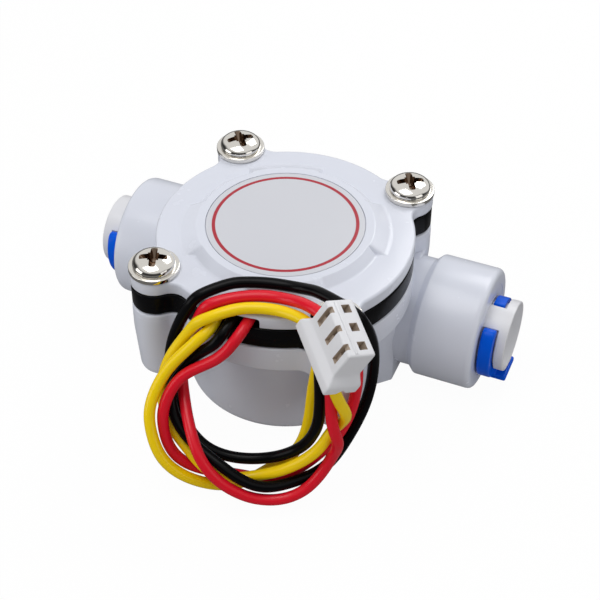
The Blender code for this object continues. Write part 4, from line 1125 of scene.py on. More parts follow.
@dataclass
class Port:
    """The quick-connect parts of one port.

    Args:
        side: Which end of the body.
        collet: Radius of the collet's flange, and the flange's inner and outer face.
        neck: Radius of the collet between flange and barbs.
        sleeve: Where the collet's fingers end, and the shoulder behind the clip's groove.
        bore: Radius of the tube's way.
        barb: The barbs' radius, and the cartridge's step that holds them.
        barb_run: How far before that step the barbs end, and where they are widest.
        mouth: Width and depth of the flare at the collet's face.
        slit: Width and length of the slits between the fingers.
        groove_gap: How far outside the shoulder the clip's groove starts.
        groove_ends: Degrees from the near and the far arm's end to the groove's.
        collet_edges: Radii around the collet's section, from the flare's outer edge.
        ring: Radius, inner end and outer end of the cartridge ring.
        pocket: The ring's inner radius around the barbs.
        throat: The ring's inner radius at its mouth, and the clip's.
        throat_slope: Length of the slope between the two.
        ring_edges: Radii around the ring's section, from its outer edge at the mouth.
        clip: Outer radius, inner face and outer face of the clip's thick band.
        band: Outer radius of its thin band.
        band_faces: How far the thin band's faces lie inside the thick one's.
        band_short: How many degrees the thin band ends below the thick one, on the near side.
        rims: Radius of the edges of the thick band, the thin band and the finger plate.
        plate: Width, thickness and outer end of the clip's finger plate.
        plate_bottom: Its lower face, from the port's axis.
        plate_root: How far outside the throat its leg ends, inside the thick band.
        plate_edges: Radii around its section, from its inner lower edge.
    """

    side: Side
    collet: Triple = (4.9, 28.8, 30.1)
    neck: float = 4.2
    sleeve: Pair = (20.75, 26.51)
    bore: float = 3.325
    barb: Pair = (4.75, 23.05)
    barb_run: Pair = (0.5, 1.0)
    mouth: Pair = (1.2, 2.6)
    slit: Pair = (0.8, 3.2)
    groove_gap: float = 0.09
    groove_ends: Pair = (1.5, -2.0)
    collet_edges: Sizes = (0.1, 0.25, 0.05, 0.1, 0.0, 0.0, 0.0, 0.0, 0.8)
    ring: Triple = (6.5, 20.65, 26.56)
    pocket: float = 4.9
    throat: float = 4.35
    throat_slope: float = 0.7
    ring_edges: Sizes = (0.03, 0.1, 0.1, 0.0, 0.0, 0.3)
    clip: Triple = (6.25, 26.85, 28.6)
    band: float = 4.97
    band_faces: Pair = (0.05, 0.15)
    band_short: float = 10.0
    rims: Triple = (0.2, 0.1, 0.25)
    plate: Triple = (4.5, 0.85, 30.25)
    plate_bottom: float = -6.7
    plate_root: float = 0.4
    plate_edges: Sizes = (0.2, 0.3, 0.3, 0.4, 0.0, 0.0)

    @property
    def arms(self) -> Triple:
        """How far up the clip reaches: thick near arm, thick far arm and thin far arm."""
        return (36.0, -4.0, 85.0) if self.side is Side.RIGHT else (26.0, -4.0, 30.0)

    def open_ring(self, inner: float, outer: float, near: float, far: float) -> np.ndarray:
        """A horseshoe whose arms end at these angles on the wires' side and on the far side."""
        return horseshoe(inner, outer, (near + far) / 2, self.side.value * (far - near) / 2)

    def build(self) -> list[Object]:
        """Makes the cartridge ring, the collet and the clip.

        Returns:
            The three pieces.
        """
        return [self.cartridge(), self.release_sleeve(), self.locking_clip()]

    def node(self, name: str) -> str:
        """The CAD node of this side."""
        return f"{self.side.label}_{name}"

    @property
    def upright(self) -> Matrix:
        """The port's frame, with local Z out of the port and local Y up."""
        side = self.side.value
        turn = Matrix(((0, 0, side, 0), (side, 0, 0, 0), (0, 1, 0, 0), (0, 0, 0, 1)))
        return at(0, BODY.port_y, BODY.port_z) @ turn

    def cartridge(self) -> Object:
        """The ring pressed into the port's mouth."""
        radius, low, high = self.ring
        end = self.barb[1]
        loop = [
            (radius, high),
            (radius, low),
            (self.pocket, low),
            (self.pocket, end),
            (self.throat, end + self.throat_slope),
            (self.throat, high),
        ]
        loop = rounded(loop, self.ring_edges, closed=True)
        ring = lathe(f"mouth_ring_{self.side.label}", loop, along_x(self.side.value), closed=True)
        return settle_piece(ring, WHITE, self.node("cartridge_ring"))

    def release_sleeve(self) -> Object:
        """The collet: slit fingers inside, and a groove outside that the clip sits in."""
        axis = along_x(self.side.value)
        radius, flange, face = self.collet
        low, shoulder = self.sleeve
        barb, end = self.barb
        straight, widest = self.barb_run
        flare, deep = self.mouth
        loop = [
            (self.bore + flare, face),
            (radius, face),
            (radius, shoulder),
            (self.neck, shoulder),
            (self.neck, end - straight),
            (barb, end - widest),
            (self.neck, low),
            (self.bore, low),
            (self.bore, face - deep),
        ]
        loop = rounded(loop, self.collet_edges, closed=True, steps=6)
        sleeve = lathe(f"release_collet_{self.side.label}", loop, axis, segments=128, closed=True)
        width, length = self.slit
        wide, long = width / 2, barb + OVER
        slits = [
            block(f"slit_{across:.0f}", (-across, -down, low - OVER), (across, down, low + length), axis)
            for across, down in ((wide, long), (long, wide))
        ]
        near, _, far = self.arms
        first, last = self.groove_ends
        outline = self.open_ring(self.neck, radius + OVER, near + first, far + last)
        groove = slab("groove", outline, shoulder + self.groove_gap, flange, 0.0, self.upright)
        cut(sleeve, groove, *slits)
        return settle_piece(sleeve, PALE, self.node("collet"), ridge=40)

    def locking_clip(self) -> Object:
        """The horseshoe clip with its finger plate."""
        outer, low, high = self.clip
        near, short, long = self.arms
        thick_rim, thin_rim, plate_rim = self.rims
        outline = self.open_ring(self.throat, outer, near, short)
        clip = slab(f"clip_{self.side.label}", outline, low, high, thick_rim, self.upright)
        inner_gap, outer_gap = self.band_faces
        outline = self.open_ring(self.throat, self.band, near - self.band_short, long)
        join(clip, slab("band", outline, low + inner_gap, high - outer_gap, thin_rim, self.upright))
        width, thickness, end = self.plate
        bottom, top = self.plate_bottom, -self.throat - self.plate_root
        outline = [
            (low, bottom),
            (end, bottom),
            (end, bottom + thickness),
            (high, bottom + thickness),
            (high, top),
            (low, top),
        ]
        outline = rounded(outline, self.plate_edges, closed=True)
        side = self.side.value
        turn = Matrix(((side, 0, 0, 0), (0, 0, -side, 0), (0, 1, 0, 0), (0, 0, 0, 1)))
        across = at(0, BODY.port_y, BODY.port_z) @ turn
        join(clip, slab("finger_plate", outline, -width / 2, width / 2, plate_rim, across))
        return settle_piece(clip, BLUE, self.node("locking_clip"))


@dataclass
class Connector:
    """The three-way crimp housing, a block on a wider foot.

    Its frame has X along the row, Z out of the mating face and Y to the back, with the
    origin at the back corner of the mating face at the yellow wire's end.

    Args:
        corner: The frame's origin.
        row: Direction of the frame's X, from the black wire's end to the yellow one's.
        rear: Direction in which the wires leave.
        pitch: From one way to the next.
        end_wall: From an outer way's middle to the block's end.
        foot_rise: Length of the flare between block and foot.
        foot: How far the foot stands out at the front, the back and the ends.
        notch: Depth of the V in the rear edge of each end.
        cavity: Side of each way's square hole, which is open to the rear.
        cavity_depth: How far behind the mating face it ends.
        entry: Side of the hole for the mate's pin.
        entry_overlap: How far that hole reaches into the cavity.
        latch: Width, depth and length of the slot in the front of each way.
        window: Where the opening in each slot starts and ends, behind the mating face.
        rib: How far forward the rib on the mating face lies, its width and its height.
        rib_root: How far it reaches into the face.
        way_depth: From the back to the ways' middles.
        hollow: Where shade is painted inside the ways and slots: faces that lie this far
        within the ends and the back, within the front and the mating face, and within the rear.
    """

    corner: Triple = (21.3, -24.15, 31.35)
    row: Triple = (0.651, -0.695, -0.301)
    rear: Triple = (-0.429, -0.034, -0.903)
    pitch: float = 2.5
    end_wall: float = 1.35
    depth: float = 3.7
    length: float = 6.8
    block_length: float = 4.4
    foot_rise: float = 1.1
    foot: Triple = (0.5, 0.35, 0.95)
    edge: float = 0.3
    notch: float = 0.9
    cavity: float = 1.85
    cavity_depth: float = 1.3
    entry: float = 1.1
    entry_overlap: float = 0.2
    latch: Triple = (0.8, 0.55, 3.0)
    window: Pair = (0.9, 1.9)
    rib: Triple = (2.75, 0.4, 0.12)
    rib_root: float = 0.2
    rib_edge: float = 0.1
    way_depth: float = 1.4
    hollow: Triple = (0.3, 0.08, 0.2)

    @property
    def width(self) -> float:
        """The length of the block's row."""
        return 2 * (self.pitch + self.end_wall)

    @property
    def frame(self) -> Matrix:
        """Where the connector lies."""
        row = Vector(self.row).normalized()
        rear = Vector(self.rear)
        out = (row * rear.dot(row) - rear).normalized()
        turn = Matrix((row, out.cross(row), out)).transposed().to_4x4()
        return at(*self.corner) @ turn

    def boxes(self) -> list[tuple[tuple[float, ...], tuple[float, ...]]]:
        """The block and the foot as two boxes in the connector's own frame."""
        front, back, end = self.foot
        low = (-self.width - end, -self.depth - front, -self.length)
        block_low = (-self.width, -self.depth, -self.length)
        return [(block_low, (0.0, 0.0, 0.0)), (low, (end, back, -self.block_length))]

    def ring(self, height: float, out: float, inset: float) -> np.ndarray:
        """The outline at one height.

        Args:
            height: Along the connector's Z.
            out: 0 at the block, 1 at the foot.
            inset: How far a rounded rim draws it in.

        Returns:
            The outline's points with their height.
        """
        front, back, end = (out * size for size in self.foot)
        left, right = -self.width - end + inset, end - inset
        near, far = -self.depth - front + inset, back - inset
        flat = rounded([(left, near), (right, near), (right, far), (left, far)], self.edge, closed=True)
        return np.column_stack([flat, np.full(len(flat), height)])

    def shell(self) -> Object:
        """The outside: rounded rims, and a smoothstep flare from the block to the foot."""
        inset, drop = rim(self.edge)
        t = np.linspace(0.0, 1.0, 9)
        flare = -self.block_length + self.foot_rise / 2 - t * 1.5 * self.foot_rise
        heights = np.concatenate([-drop, flare, drop[::-1] - self.length])
        outs = np.concatenate([0 * inset, t * t * (3 - 2 * t), 0 * inset + 1])
        insets = np.concatenate([inset, 0 * t, inset[::-1]])
        rings = [self.ring(*level) for level in zip(heights, outs, insets)]
        return skin("crimp_connector", np.stack(rings), self.frame)

    def build(self) -> Object:
        """Makes the housing.

        Returns:
            The finished piece.
        """
        frame = self.frame
        housing = self.shell()
        place, wide, rise = self.rib
        low, high = (-self.width + self.edge, -place, -self.rib_root), (-self.edge, wide - place, rise)
        join(housing, block("rib", low, high, frame, self.rib_edge))
        half, entry, rear = self.cavity / 2, self.entry / 2, -self.length
        slot, depth, run = self.latch
        roof, front = -self.cavity_depth, -self.depth
        near, far = self.window
        tools = []
        for i in range(3):
            x, y = -self.end_wall - i * self.pitch, -self.way_depth
            left, right = x - slot / 2, x + slot / 2
            for name, low, high in (
                ("cavity", (x - half, y - half, rear - OVER), (x + half, y + half, roof)),
                ("entry", (x - entry, y - entry, roof - self.entry_overlap), (x + entry, y + entry, OVER)),
                ("latch", (left, front - OVER, -run), (right, front + depth, OVER)),
                ("window", (left, front - OVER, -far), (right, y, -near)),
            ):
                tools.append(block(f"{name}_{i}", low, high, frame))
        reach, end = self.notch / math.sqrt(2), self.foot[2]
        for x in (0.0, -self.width):
            turned = frame @ at(x, front / 2, rear) @ Matrix.Rotation(math.pi / 4, 4, "X")
            low, high = (-end - OVER, -reach, -reach), (end + OVER, reach, reach)
            tools.append(block("notch", low, high, turned))
        cut(housing, *tools)
        # Marks the faces inside the ways and slots, which get painted shade.
        x, y, z = face_centres(housing, frame).T
        half = self.width / 2
        side, face, back = self.hollow
        inside = (abs(x + half) < half - side) & (y < -side) & (y > face - self.depth)
        mark_hollows(housing, inside & (z < -face) & (z > back - self.length))
        return settle_piece(housing, PALE, "connector_housing", ridge=40)


@dataclass(frozen=True)
class Wire:
    """One insulated wire.

    Args:
        name: The CAD node that it stands for.
        route: The points that it was led through, before the strands settled.
        length: Its real length in millimetres, not used.
        finish: Its insulation.
        terminal: The contact on its end, not used.
    """

    name: str
    route: tuple[Triple, ...]
    length: float
    finish: Finish
    terminal: str


# Each route starts on the circuit board, leaves through the cap's slot, runs once and a half
# round the loose loop in front of the body and ends in its way of the connector.
YELLOW_ROUTE = (
    (-1.95, -6.6, 22.1), (-1.95, -11.3, 22.8), (-1.95, -15.5, 22.8), (-1.95, -18.2, 22.8),
    (-2.3, -20.0, 22.2), (-4.2, -20.9, 19.6), (-6.3, -22.1, 17.4), (-7.6, -24.1, 14.5),
    (-7.7, -25.9, 11.7), (-6.9, -27.1, 8.7), (-4.7, -27.2, 5.0), (-0.7, -26.2, 2.1),
    (3.9, -24.2, 1.6), (7.6, -22.1, 3.4), (10.3, -20.0, 6.6), (11.0, -18.7, 10.7),
    (11.1, -18.1, 15.3), (11.9, -18.3, 20.7), (12.3, -18.3, 25.0), (10.4, -17.3, 26.7),
    (6.3, -15.6, 25.4), (2.6, -15.9, 25.1), (-0.6, -17.8, 24.8), (-3.8, -18.6, 22.0),
    (-6.2, -19.7, 18.8), (-7.7, -20.8, 15.8), (-7.8, -22.1, 12.0), (-6.5, -23.7, 8.9),
    (-4.1, -25.2, 6.0), (-0.4, -26.1, 3.5), (4.1, -25.2, 3.3), (8.4, -23.8, 4.8),
    (11.9, -22.6, 7.5), (14.7, -21.7, 11.5), (16.7, -21.7, 16.3), (16.0, -23.4, 22.6),
    (16.2, -24.1, 24.7), (16.7, -24.3, 26.3), (17.2, -24.3, 27.4),
)
BLACK_ROUTE = (
    (0.0, -6.6, 22.1), (0.0, -11.3, 22.8), (0.0, -15.5, 22.8), (0.0, -18.2, 22.8),
    (-0.4, -20.0, 22.0), (-2.9, -20.5, 18.4), (-6.0, -20.9, 15.0), (-6.9, -22.6, 12.6),
    (-6.1, -24.0, 10.6), (-3.6, -25.0, 9.1), (-0.6, -26.4, 7.4), (2.9, -27.0, 5.7),
    (7.1, -26.3, 3.8), (10.8, -23.8, 3.4), (13.8, -20.1, 4.7), (15.7, -16.4, 7.7),
    (17.0, -13.9, 12.1), (17.1, -12.3, 16.8), (16.9, -13.3, 22.9), (15.3, -15.2, 27.8),
    (11.7, -14.0, 27.9), (7.0, -11.9, 26.0), (2.9, -12.5, 26.0), (-0.8, -13.8, 25.7),
    (-4.0, -15.9, 24.7), (-6.4, -17.5, 21.8), (-7.7, -18.5, 18.4), (-8.2, -19.1, 14.5),
    (-7.6, -20.6, 11.2), (-6.0, -22.3, 9.1), (-3.7, -23.8, 7.0), (-0.4, -24.0, 5.2),
    (3.8, -23.0, 4.6), (8.2, -21.7, 5.6), (11.4, -21.2, 8.5), (13.4, -21.4, 13.3),
    (12.7, -19.9, 24.1), (12.9, -20.6, 26.2), (13.4, -20.9, 27.8), (13.9, -20.9, 28.9),
)
RED_ROUTE = (
    (1.95, -6.6, 22.1), (1.95, -11.3, 22.8), (1.95, -15.5, 22.8), (1.95, -18.2, 22.8),
    (1.5, -20.0, 22.1), (-1.4, -20.5, 19.2), (-4.1, -21.3, 17.0), (-5.7, -23.3, 14.8),
    (-6.6, -24.9, 11.5), (-5.9, -26.1, 7.8), (-3.7, -26.5, 4.3), (-0.1, -25.5, 2.7),
    (4.3, -23.8, 2.2), (8.9, -22.2, 2.9), (12.7, -19.8, 5.3), (15.0, -17.4, 9.2),
    (16.0, -15.9, 13.7), (16.2, -15.7, 18.6), (15.8, -16.5, 23.0), (14.4, -17.6, 26.9),
    (11.3, -16.9, 28.1), (6.6, -14.3, 25.9), (2.4, -14.5, 25.5), (-1.0, -16.3, 24.9),
    (-3.8, -17.4, 22.2), (-5.8, -18.1, 18.2), (-6.5, -19.5, 14.4), (-5.3, -21.9, 12.0),
    (-3.3, -24.7, 9.9), (-0.6, -26.9, 7.8), (2.7, -27.7, 5.0), (7.1, -27.0, 2.6),
    (11.1, -24.7, 2.7), (14.0, -22.4, 5.2), (15.4, -21.2, 9.7), (15.9, -21.7, 14.9),
    (14.4, -21.6, 23.3), (14.6, -22.4, 25.4), (15.0, -22.6, 27.1), (15.6, -22.6, 28.1),
)


def even(line: np.ndarray, spacing: float) -> np.ndarray:
    """The same line with points at an even spacing."""
    run = np.r_[0.0, np.cumsum(np.linalg.norm(np.diff(line, axis=0), axis=1))]
    stops = np.linspace(0.0, run[-1], round(run[-1] / spacing) + 1)
    return np.column_stack([np.interp(stops, run, line[:, axis]) for axis in range(3)])


def smooth_line(points: Iterable[Sequence[float]], spacing: float) -> np.ndarray:
    """Evenly spaced points on a Catmull-Rom curve through the given points.

    Between b and c, with neighbours a and d, the curve is half of
    2b + (c - a) t + (2a - 5b + 4c - d) t^2 + (3b - a - 3c + d) t^3.
    """
    points = np.array(points, float)
    ends = np.vstack([2 * points[0] - points[1], points, 2 * points[-1] - points[-2]])
    t = np.linspace(0.0, 1.0, 8, endpoint=False)[None, :, None]
    a, b, c, d = (part[:, None] for part in (ends[:-3], ends[1:-2], ends[2:-1], ends[3:]))
    curve = 2 * b + (c - a) * t + (2 * a - 5 * b + 4 * c - d) * t**2 + (3 * b - a - 3 * c + d) * t**3
    return even(np.vstack([curve.reshape(-1, 3) / 2, points[-1:]]), spacing)


def second_difference(values: np.ndarray, ends: np.ndarray) -> np.ndarray:
    """Each point's neighbours less twice itself, and nothing at a wire's ends."""
    result = np.roll(values, 1, axis=0) + np.roll(values, -1, axis=0) - 2 * values
    result[ends] = 0.0
    return result


def cylinder_distance(
    points: np.ndarray, x: float, y: float, radius: float, low: float, high: float
) -> np.ndarray:
    """Signed distance from points to an upright cylinder."""
    across = np.hypot(points[:, 0] - x, points[:, 1] - y) - radius
    along = np.maximum(low - points[:, 2], points[:, 2] - high)
    corner = (across > 0) & (along > 0)
    return np.where(corner, np.hypot(across, along), np.maximum(across, along))


def box_distance(points: np.ndarray, low: Sequence[float], high: Sequence[float]) -> np.ndarray:
    """Signed distance from points in the connector's frame to a box."""
    low, high = np.array(low), np.array(high)
    over = np.abs(points - (low + high) / 2) - (high - low) / 2
    outside = np.linalg.norm(np.maximum(over, 0.0), axis=1)
    return np.where(outside > 0, outside, over.max(axis=1))


@dataclass
class Loom:
    """The three wires, settled against each other, the body and the connector.

    Args:
        connector: What the wires end in.
        radius: A wire's radius.
        spacing: Distance that two strands' middles keep.
        standoff: Distance that a strand's middle keeps from every surface.
        sample: From point to point while the strands settle.
        drawn: From point to point in the finished wire.
        rounds: How many times the strands are pushed.
        exit_y: Behind this Y, and among the first held_start points, a strand stays put.
        held_end: How many of its last points stay too.
        own_reach: Points of one strand closer than this many don't push each other.
        apart: Share of the missing spacing that one round gives back.
        outward: Share of the missing standoff that one round gives back.
        probe: Step with which the direction away from a surface is felt.
        evenness: Weight of each point's pull to the middle of its neighbours.
        stiffness: Weight of the resistance to a change of bend.
        homing: Weight of the pull back to the route.
        longest_move: The most that a point moves in a round.
        platform: Radius of the lid's platform, as the strands feel it.
        column: Radius of a screw's column and the height of its foot.
        washer: Radius and top of a washer.
        head: Radius and top of a screw's head.
        wires: The three of them.
    """

    connector: Connector
    radius: float = 0.75
    spacing: float = 1.74
    standoff: float = 0.96
    sample: float = 0.8
    drawn: float = 0.4
    rounds: int = 220
    exit_y: float = -17.2
    held_start: int = 20
    held_end: int = 4
    own_reach: int = 7
    apart: float = 0.25
    outward: float = 0.7
    probe: float = 0.02
    evenness: float = 0.02
    stiffness: float = 0.055
    homing: float = 0.004
    longest_move: float = 0.25
    platform: float = 14.1
    column: Pair = (3.05, 8.2)
    washer: Pair = (3.25, 24.55)
    head: Pair = (2.75, 26.45)
    wires: tuple[Wire, ...] = (
        Wire("yellow_wire", YELLOW_ROUTE, 152.0, YELLOW, "crimp_terminal_yellow"),
        Wire("black_wire", BLACK_ROUTE, 161.0, INK, "crimp_terminal_black"),
        Wire("red_wire", RED_ROUTE, 164.0, RED, "crimp_terminal_red"),
    )

    def clearance(self, points: np.ndarray) -> np.ndarray:
        """How far each point is from the body, the screws, the connector and the ground."""
        column, foot = self.column
        cylinders = [
            (0.0, 0.0, BODY.radius, BODY.cup_height, BODY.cap_rim),
            (0.0, 0.0, self.platform, BODY.cap_bottom, BODY.cap_top),
            (0.0, 0.0, BODY.cup_radius, 0.0, BODY.cup_height),
        ]
        for place in ("front_left", "front_right"):
            spot = BODY.screws[place]
            cylinders += [
                (*spot, BODY.lobe_radius, BODY.cup_height, BODY.cap_rim),
                (*spot, column, foot, BODY.cup_height),
                (*spot, self.washer[0], BODY.cap_rim, self.washer[1]),
                (*spot, self.head[0], BODY.cap_rim, self.head[1]),
            ]
        frame = np.array(self.connector.frame.inverted())
        local = points * MM @ frame[:3, :3].T + frame[:3, 3]
        distances = [cylinder_distance(points, *cylinder) for cylinder in cylinders]
        distances += [box_distance(local / MM, *corners) for corners in self.connector.boxes()]
        return np.min(distances + [points[:, 2]], axis=0)

    def way_out(self, points: np.ndarray) -> np.ndarray:
        """The direction in which each point's clearance grows, from a small step each way."""
        steps = self.probe * np.eye(3)
        slope = [self.clearance(points + step) - self.clearance(points - step) for step in steps]
        slope = np.column_stack(slope)
        return slope / np.maximum(np.linalg.norm(slope, axis=1, keepdims=True), 1e-9)

    def settle(self) -> list[np.ndarray]:
        """Pushes the strands apart and off the body, as they lie against each other.

        Each round moves a point away from every strand nearer than the spacing and from
        every surface nearer than the standoff, then takes out a little of the line's
        unevenness. The stretches inside the body and the connector stay where they are.

        Returns:
            One line for each wire.
        """
        strands = [smooth_line(wire.route, self.sample) for wire in self.wires]
        counts = [len(strand) for strand in strands]
        points = np.vstack(strands)
        home = points.copy()
        wire = np.repeat(np.arange(len(strands)), counts)
        place = np.concatenate([np.arange(count) for count in counts])
        left = np.repeat(counts, counts) - place
        held = (home[:, 1] > self.exit_y) & (place < self.held_start) | (left <= self.held_end)
        ends = (place == 0) | (left == 1)
        neighbours = (wire[:, None] == wire) & (abs(place[:, None] - place) < self.own_reach)
        for _ in range(self.rounds):
            between = points[:, None] - points
            distance = np.linalg.norm(between, axis=2)
            distance[neighbours] = np.inf
            overlap = np.clip(self.spacing - distance, 0.0, None)
            push = self.apart * (between * (overlap / distance)[..., None]).sum(axis=1)
            push /= np.sqrt(np.maximum((overlap > 0).sum(axis=1), 1))[:, None]
            missing = np.clip(self.standoff - self.clearance(points), 0.0, None)[:, None]
            push += self.outward * self.way_out(points) * missing
            bend = second_difference(points, ends)
            move = push + self.evenness * bend - self.stiffness * second_difference(bend, ends)
            move += self.homing * (home - points)
            size = np.maximum(np.linalg.norm(move, axis=1, keepdims=True), 1e-9)
            move *= np.minimum(1.0, self.longest_move / size)
            move[held] = 0.0
            points = points + move
        return np.split(points, np.cumsum(counts)[:-1])

    def build(self, housing: Object, nodes: dict[str, Object]) -> list[Object]:
        """Makes the wires.

        Args:
            housing: The connector's piece, not used.
            nodes: The CAD nodes, not used.

        Returns:
            The three wires.
        """
        made = []
        for wire, strand in zip(self.wires, self.settle()):
            line = smooth_line(strand, self.drawn)
            data = bpy.data.curves.new(wire.name, "CURVE")
            data.dimensions = "3D"
            data.bevel_depth = self.radius * MM
            data.bevel_resolution = 4
            data.use_fill_caps = True
            spline = data.splines.new("POLY")
            spline.points.add(len(line) - 1)
            spline.points.foreach_set("co", np.column_stack([line * MM, np.ones(len(line))]).ravel())
            spline.use_smooth = True
            obj = add_object(f"{wire.name}_lead", data)
            settle_piece(obj, wire.finish, wire.name)
            made.append(obj)
        return made


@dataclass(frozen=True)
class Lamp:
    """A soft square lamp.

    Args:
        name: Its name.
        place: Where it stands, in millimetres.
        size: Its side in millimetres.
        strength: How bright it makes a white face at the target that looks at it.
    """

    name: str
    place: Triple
    size: float
    strength: float


@dataclass
class Studio:
    """The camera at the photograph's angle, the white surroundings and the lamps.

    Args:
        target: The point that camera and lamps look at.
        azimuth: The camera's angle in degrees, from the front towards +X.
        elevation: Its angle above the ground.
        distance: How far it is from the target.
        lens: Its focal length in millimetres.
        sensor: Its sensor's width in millimetres.
        clip: The nearest and the furthest distance that it sees, in metres.
        ambient: Level of the plain light from all around.
        wall: Heights at which the mirrored wall starts and ends to fade into the ceiling,
            and the levels of wall and ceiling.
        back_lift: How much sooner the ceiling starts behind the part.
        paper: Grey level and roughness of the floor's sheet.
        glow: The sheet's own brightness for the camera.
        sheen: Its brightness in reflections.
        glow_share: How much of what the camera and reflections see is that brightness.
        sheet: Half the sheet's side, and how far it lies under the part.
        lamps: The lamps.
    """

    target: Triple = (2.03, 0.0, 12.1)
    azimuth: float = 22.4
    elevation: float = 43.0
    distance: float = 200.0
    lens: float = 88.29
    sensor: float = 36.0
    clip: Pair = (0.01, 20.0)
    ambient: float = 0.40
    wall: tuple[float, float, float, float] = (0.42, 0.74, 0.04, 0.80)
    back_lift: float = 0.9
    paper: Pair = (0.50, 0.9)
    glow: float = 1.03
    sheen: float = 0.14
    glow_share: float = 0.94
    sheet: Pair = (900.0, 0.05)
    lamps: tuple[Lamp, ...] = (
        Lamp("key", (-40.0, -50.0, 280.0), 180.0, 0.38),
        Lamp("front", (-190.0, -150.0, 60.0), 150.0, 0.22),
        Lamp("side", (230.0, -70.0, 80.0), 150.0, 0.13),
        Lamp("back", (40.0, 190.0, 200.0), 120.0, 0.28),
    )

    def aim(self, obj: Object, place: Sequence[float]) -> None:
        """Puts an object somewhere and turns its -Z towards the target."""
        obj.location = Vector(place) * MM
        look = Vector(self.target) * MM - obj.location
        obj.rotation_euler = look.to_track_quat("-Z", "Y").to_euler()

    def camera(self) -> None:
        """Makes the camera and sets it as the scene's own."""
        data = bpy.data.cameras.new("camera")
        data.sensor_width = self.sensor
        data.lens = self.lens
        data.clip_start, data.clip_end = self.clip
        camera = add_object("camera", data)
        turn, rise = math.radians(self.azimuth), math.radians(self.elevation)
        away = (math.sin(turn) * math.cos(rise), -math.cos(turn) * math.cos(rise), math.sin(rise))
        self.aim(camera, [t + self.distance * a for t, a in zip(self.target, away)])
        bpy.context.scene.camera = camera

    def world(self) -> None:
        """White to the camera and through glass, a plain level of light for the rest.

        Reflections see a pale ceiling, down to a dim wall that stands on the front's horizon.
        """
        world = bpy.data.worlds.new("studio")
        world.use_nodes = True
        tree = Tree(world.node_tree)
        back = world.node_tree.nodes["Background"]
        rays = tree.add("ShaderNodeLightPath")
        seen = tree.math("MAXIMUM", rays.outputs["Is Camera Ray"], rays.outputs["Is Transmission Ray"])
        height = tree.add("ShaderNodeSeparateXYZ")
        tree.link(tree.add("ShaderNodeTexCoord").outputs["Generated"], height.inputs[0])
        room = tree.add("ShaderNodeMapRange", interpolation_type="SMOOTHSTEP")
        behind = tree.math("MULTIPLY", tree.math("MAXIMUM", height.outputs["Y"], 0.0), self.back_lift)
        tree.link(tree.math("ADD", height.outputs["Z"], behind), room.inputs["Value"])
        for socket, value in zip(("From Min", "From Max", "To Min", "To Max"), self.wall):
            room.inputs[socket].default_value = value
        mirrored = tree.mix(rays.outputs["Is Glossy Ray"], (self.ambient,) * 3, room.outputs["Result"])
        tree.link(tree.mix(seen, mirrored, (1.0, 1.0, 1.0)), back.inputs["Color"])
        bpy.context.scene.world = world

    def floor(self) -> None:
        """A wide white sheet that keeps a faint shadow."""
        half, drop = self.sheet
        corners = np.array([(-half, -half, 0), (half, -half, 0), (half, half, 0), (-half, half, 0)])
        floor = mesh_object("floor", corners, [[0, 1, 2, 3]], at(0, 0, -drop))
        made = bpy.data.materials.new("paper")
        made.use_nodes = True
        tree = Tree(made.node_tree)
        shader = made.node_tree.nodes["Principled BSDF"]
        grey, roughness = self.paper
        shader.inputs["Base Color"].default_value = (grey, grey, grey, 1.0)
        shader.inputs["Roughness"].default_value = roughness
        glow = tree.add("ShaderNodeEmission")
        rays = tree.add("ShaderNodeLightPath")
        seen = tree.math("MAXIMUM", rays.outputs["Is Camera Ray"], rays.outputs["Is Glossy Ray"])
        level = tree.add("ShaderNodeMapRange")
        tree.link(rays.outputs["Is Camera Ray"], level.inputs["Value"])
        level.inputs["To Min"].default_value = self.sheen
        level.inputs["To Max"].default_value = self.glow
        tree.link(level.outputs["Result"], glow.inputs["Strength"])
        blend = tree.add("ShaderNodeMixShader")
        tree.link(tree.math("MULTIPLY", seen, self.glow_share), blend.inputs[0])
        tree.link(shader.outputs[0], blend.inputs[1])
        tree.link(glow.outputs[0], blend.inputs[2])
        tree.link(blend.outputs[0], made.node_tree.nodes["Material Output"].inputs["Surface"])
        floor.data.materials.append(made)

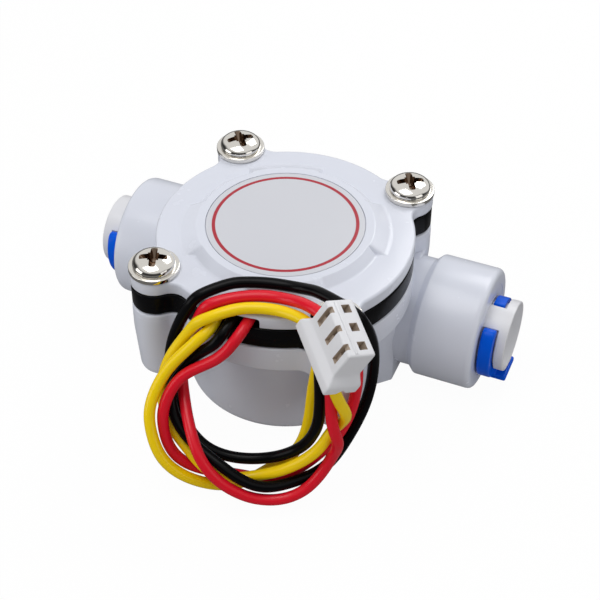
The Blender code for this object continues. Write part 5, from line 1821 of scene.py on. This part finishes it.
    def light(self) -> None:
        """Hangs the lamps, whose power is strength * pi^2 * distance^2."""
        for lamp in self.lamps:
            data = bpy.data.lights.new(lamp.name, "AREA")
            data.shape = "SQUARE"
            data.size = lamp.size * MM
            distance = (Vector(lamp.place) - Vector(self.target)).length * MM
            data.energy = lamp.strength * math.pi * math.pi * distance**2
            self.aim(add_object(lamp.name, data), lamp.place)

    def build(self) -> None:
        """Sets up the whole studio."""
        self.camera()
        self.world()
        self.floor()
        self.light()
        bpy.context.scene.view_settings.view_transform = "Standard"


# How far each screw's cross is turned, in degrees.
SCREW_TURNS = {"front_left": 20.0, "front_right": 5.0, "rear_left": 40.0, "rear_right": 30.0}


# The CAD nodes that stay as they are, by their finish.
KEPT_NODES = (
    (RUBBER, ("chamber_o_ring", "left_tube_o_ring", "right_tube_o_ring")),
    (WHITE, ("impeller",)),
    (FERRITE, ("ring_magnet",)),
    (STEEL, ("impeller_shaft", "left_grab_ring", "right_grab_ring")),
    (GREEN, ("hall_board",)),
    (EPOXY, ("hall_sensor",)),
    (CERAMIC, ("chip_resistor", "chip_capacitor")),
    (TIN, ("crimp_terminal_red", "crimp_terminal_black", "crimp_terminal_yellow")),
)


def dress(nodes: dict[str, Object]) -> None:
    """Gives every CAD node that stays its finish."""
    for finish, names in KEPT_NODES:
        for name in names:
            obj = nodes[name]
            if not obj.material_slots:
                obj.data.materials.append(None)
            for slot in obj.material_slots:
                slot.material = finish.build()


def main() -> None:
    """Builds the sensor in the order of its assembly."""
    logging.basicConfig(level=logging.INFO, format="%(name)s: %(message)s")
    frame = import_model()
    nodes = frame["nodes"]
    Studio().build()
    connector = Connector()
    housing = connector.build()
    pieces = [housing, *Loom(connector).build(housing, nodes)]
    pieces += [assembly.build() for assembly in (LowerHousing(), SealingPlate(), TopCap(), Label())]
    for place, turn in SCREW_TURNS.items():
        pieces += Screw(place, turn).build()
    for side in Side:
        pieces += Port(side).build()
    dress(nodes)
    for piece in pieces:
        LOG.info("%s made", piece.name)


if __name__ == "__main__":
    main()
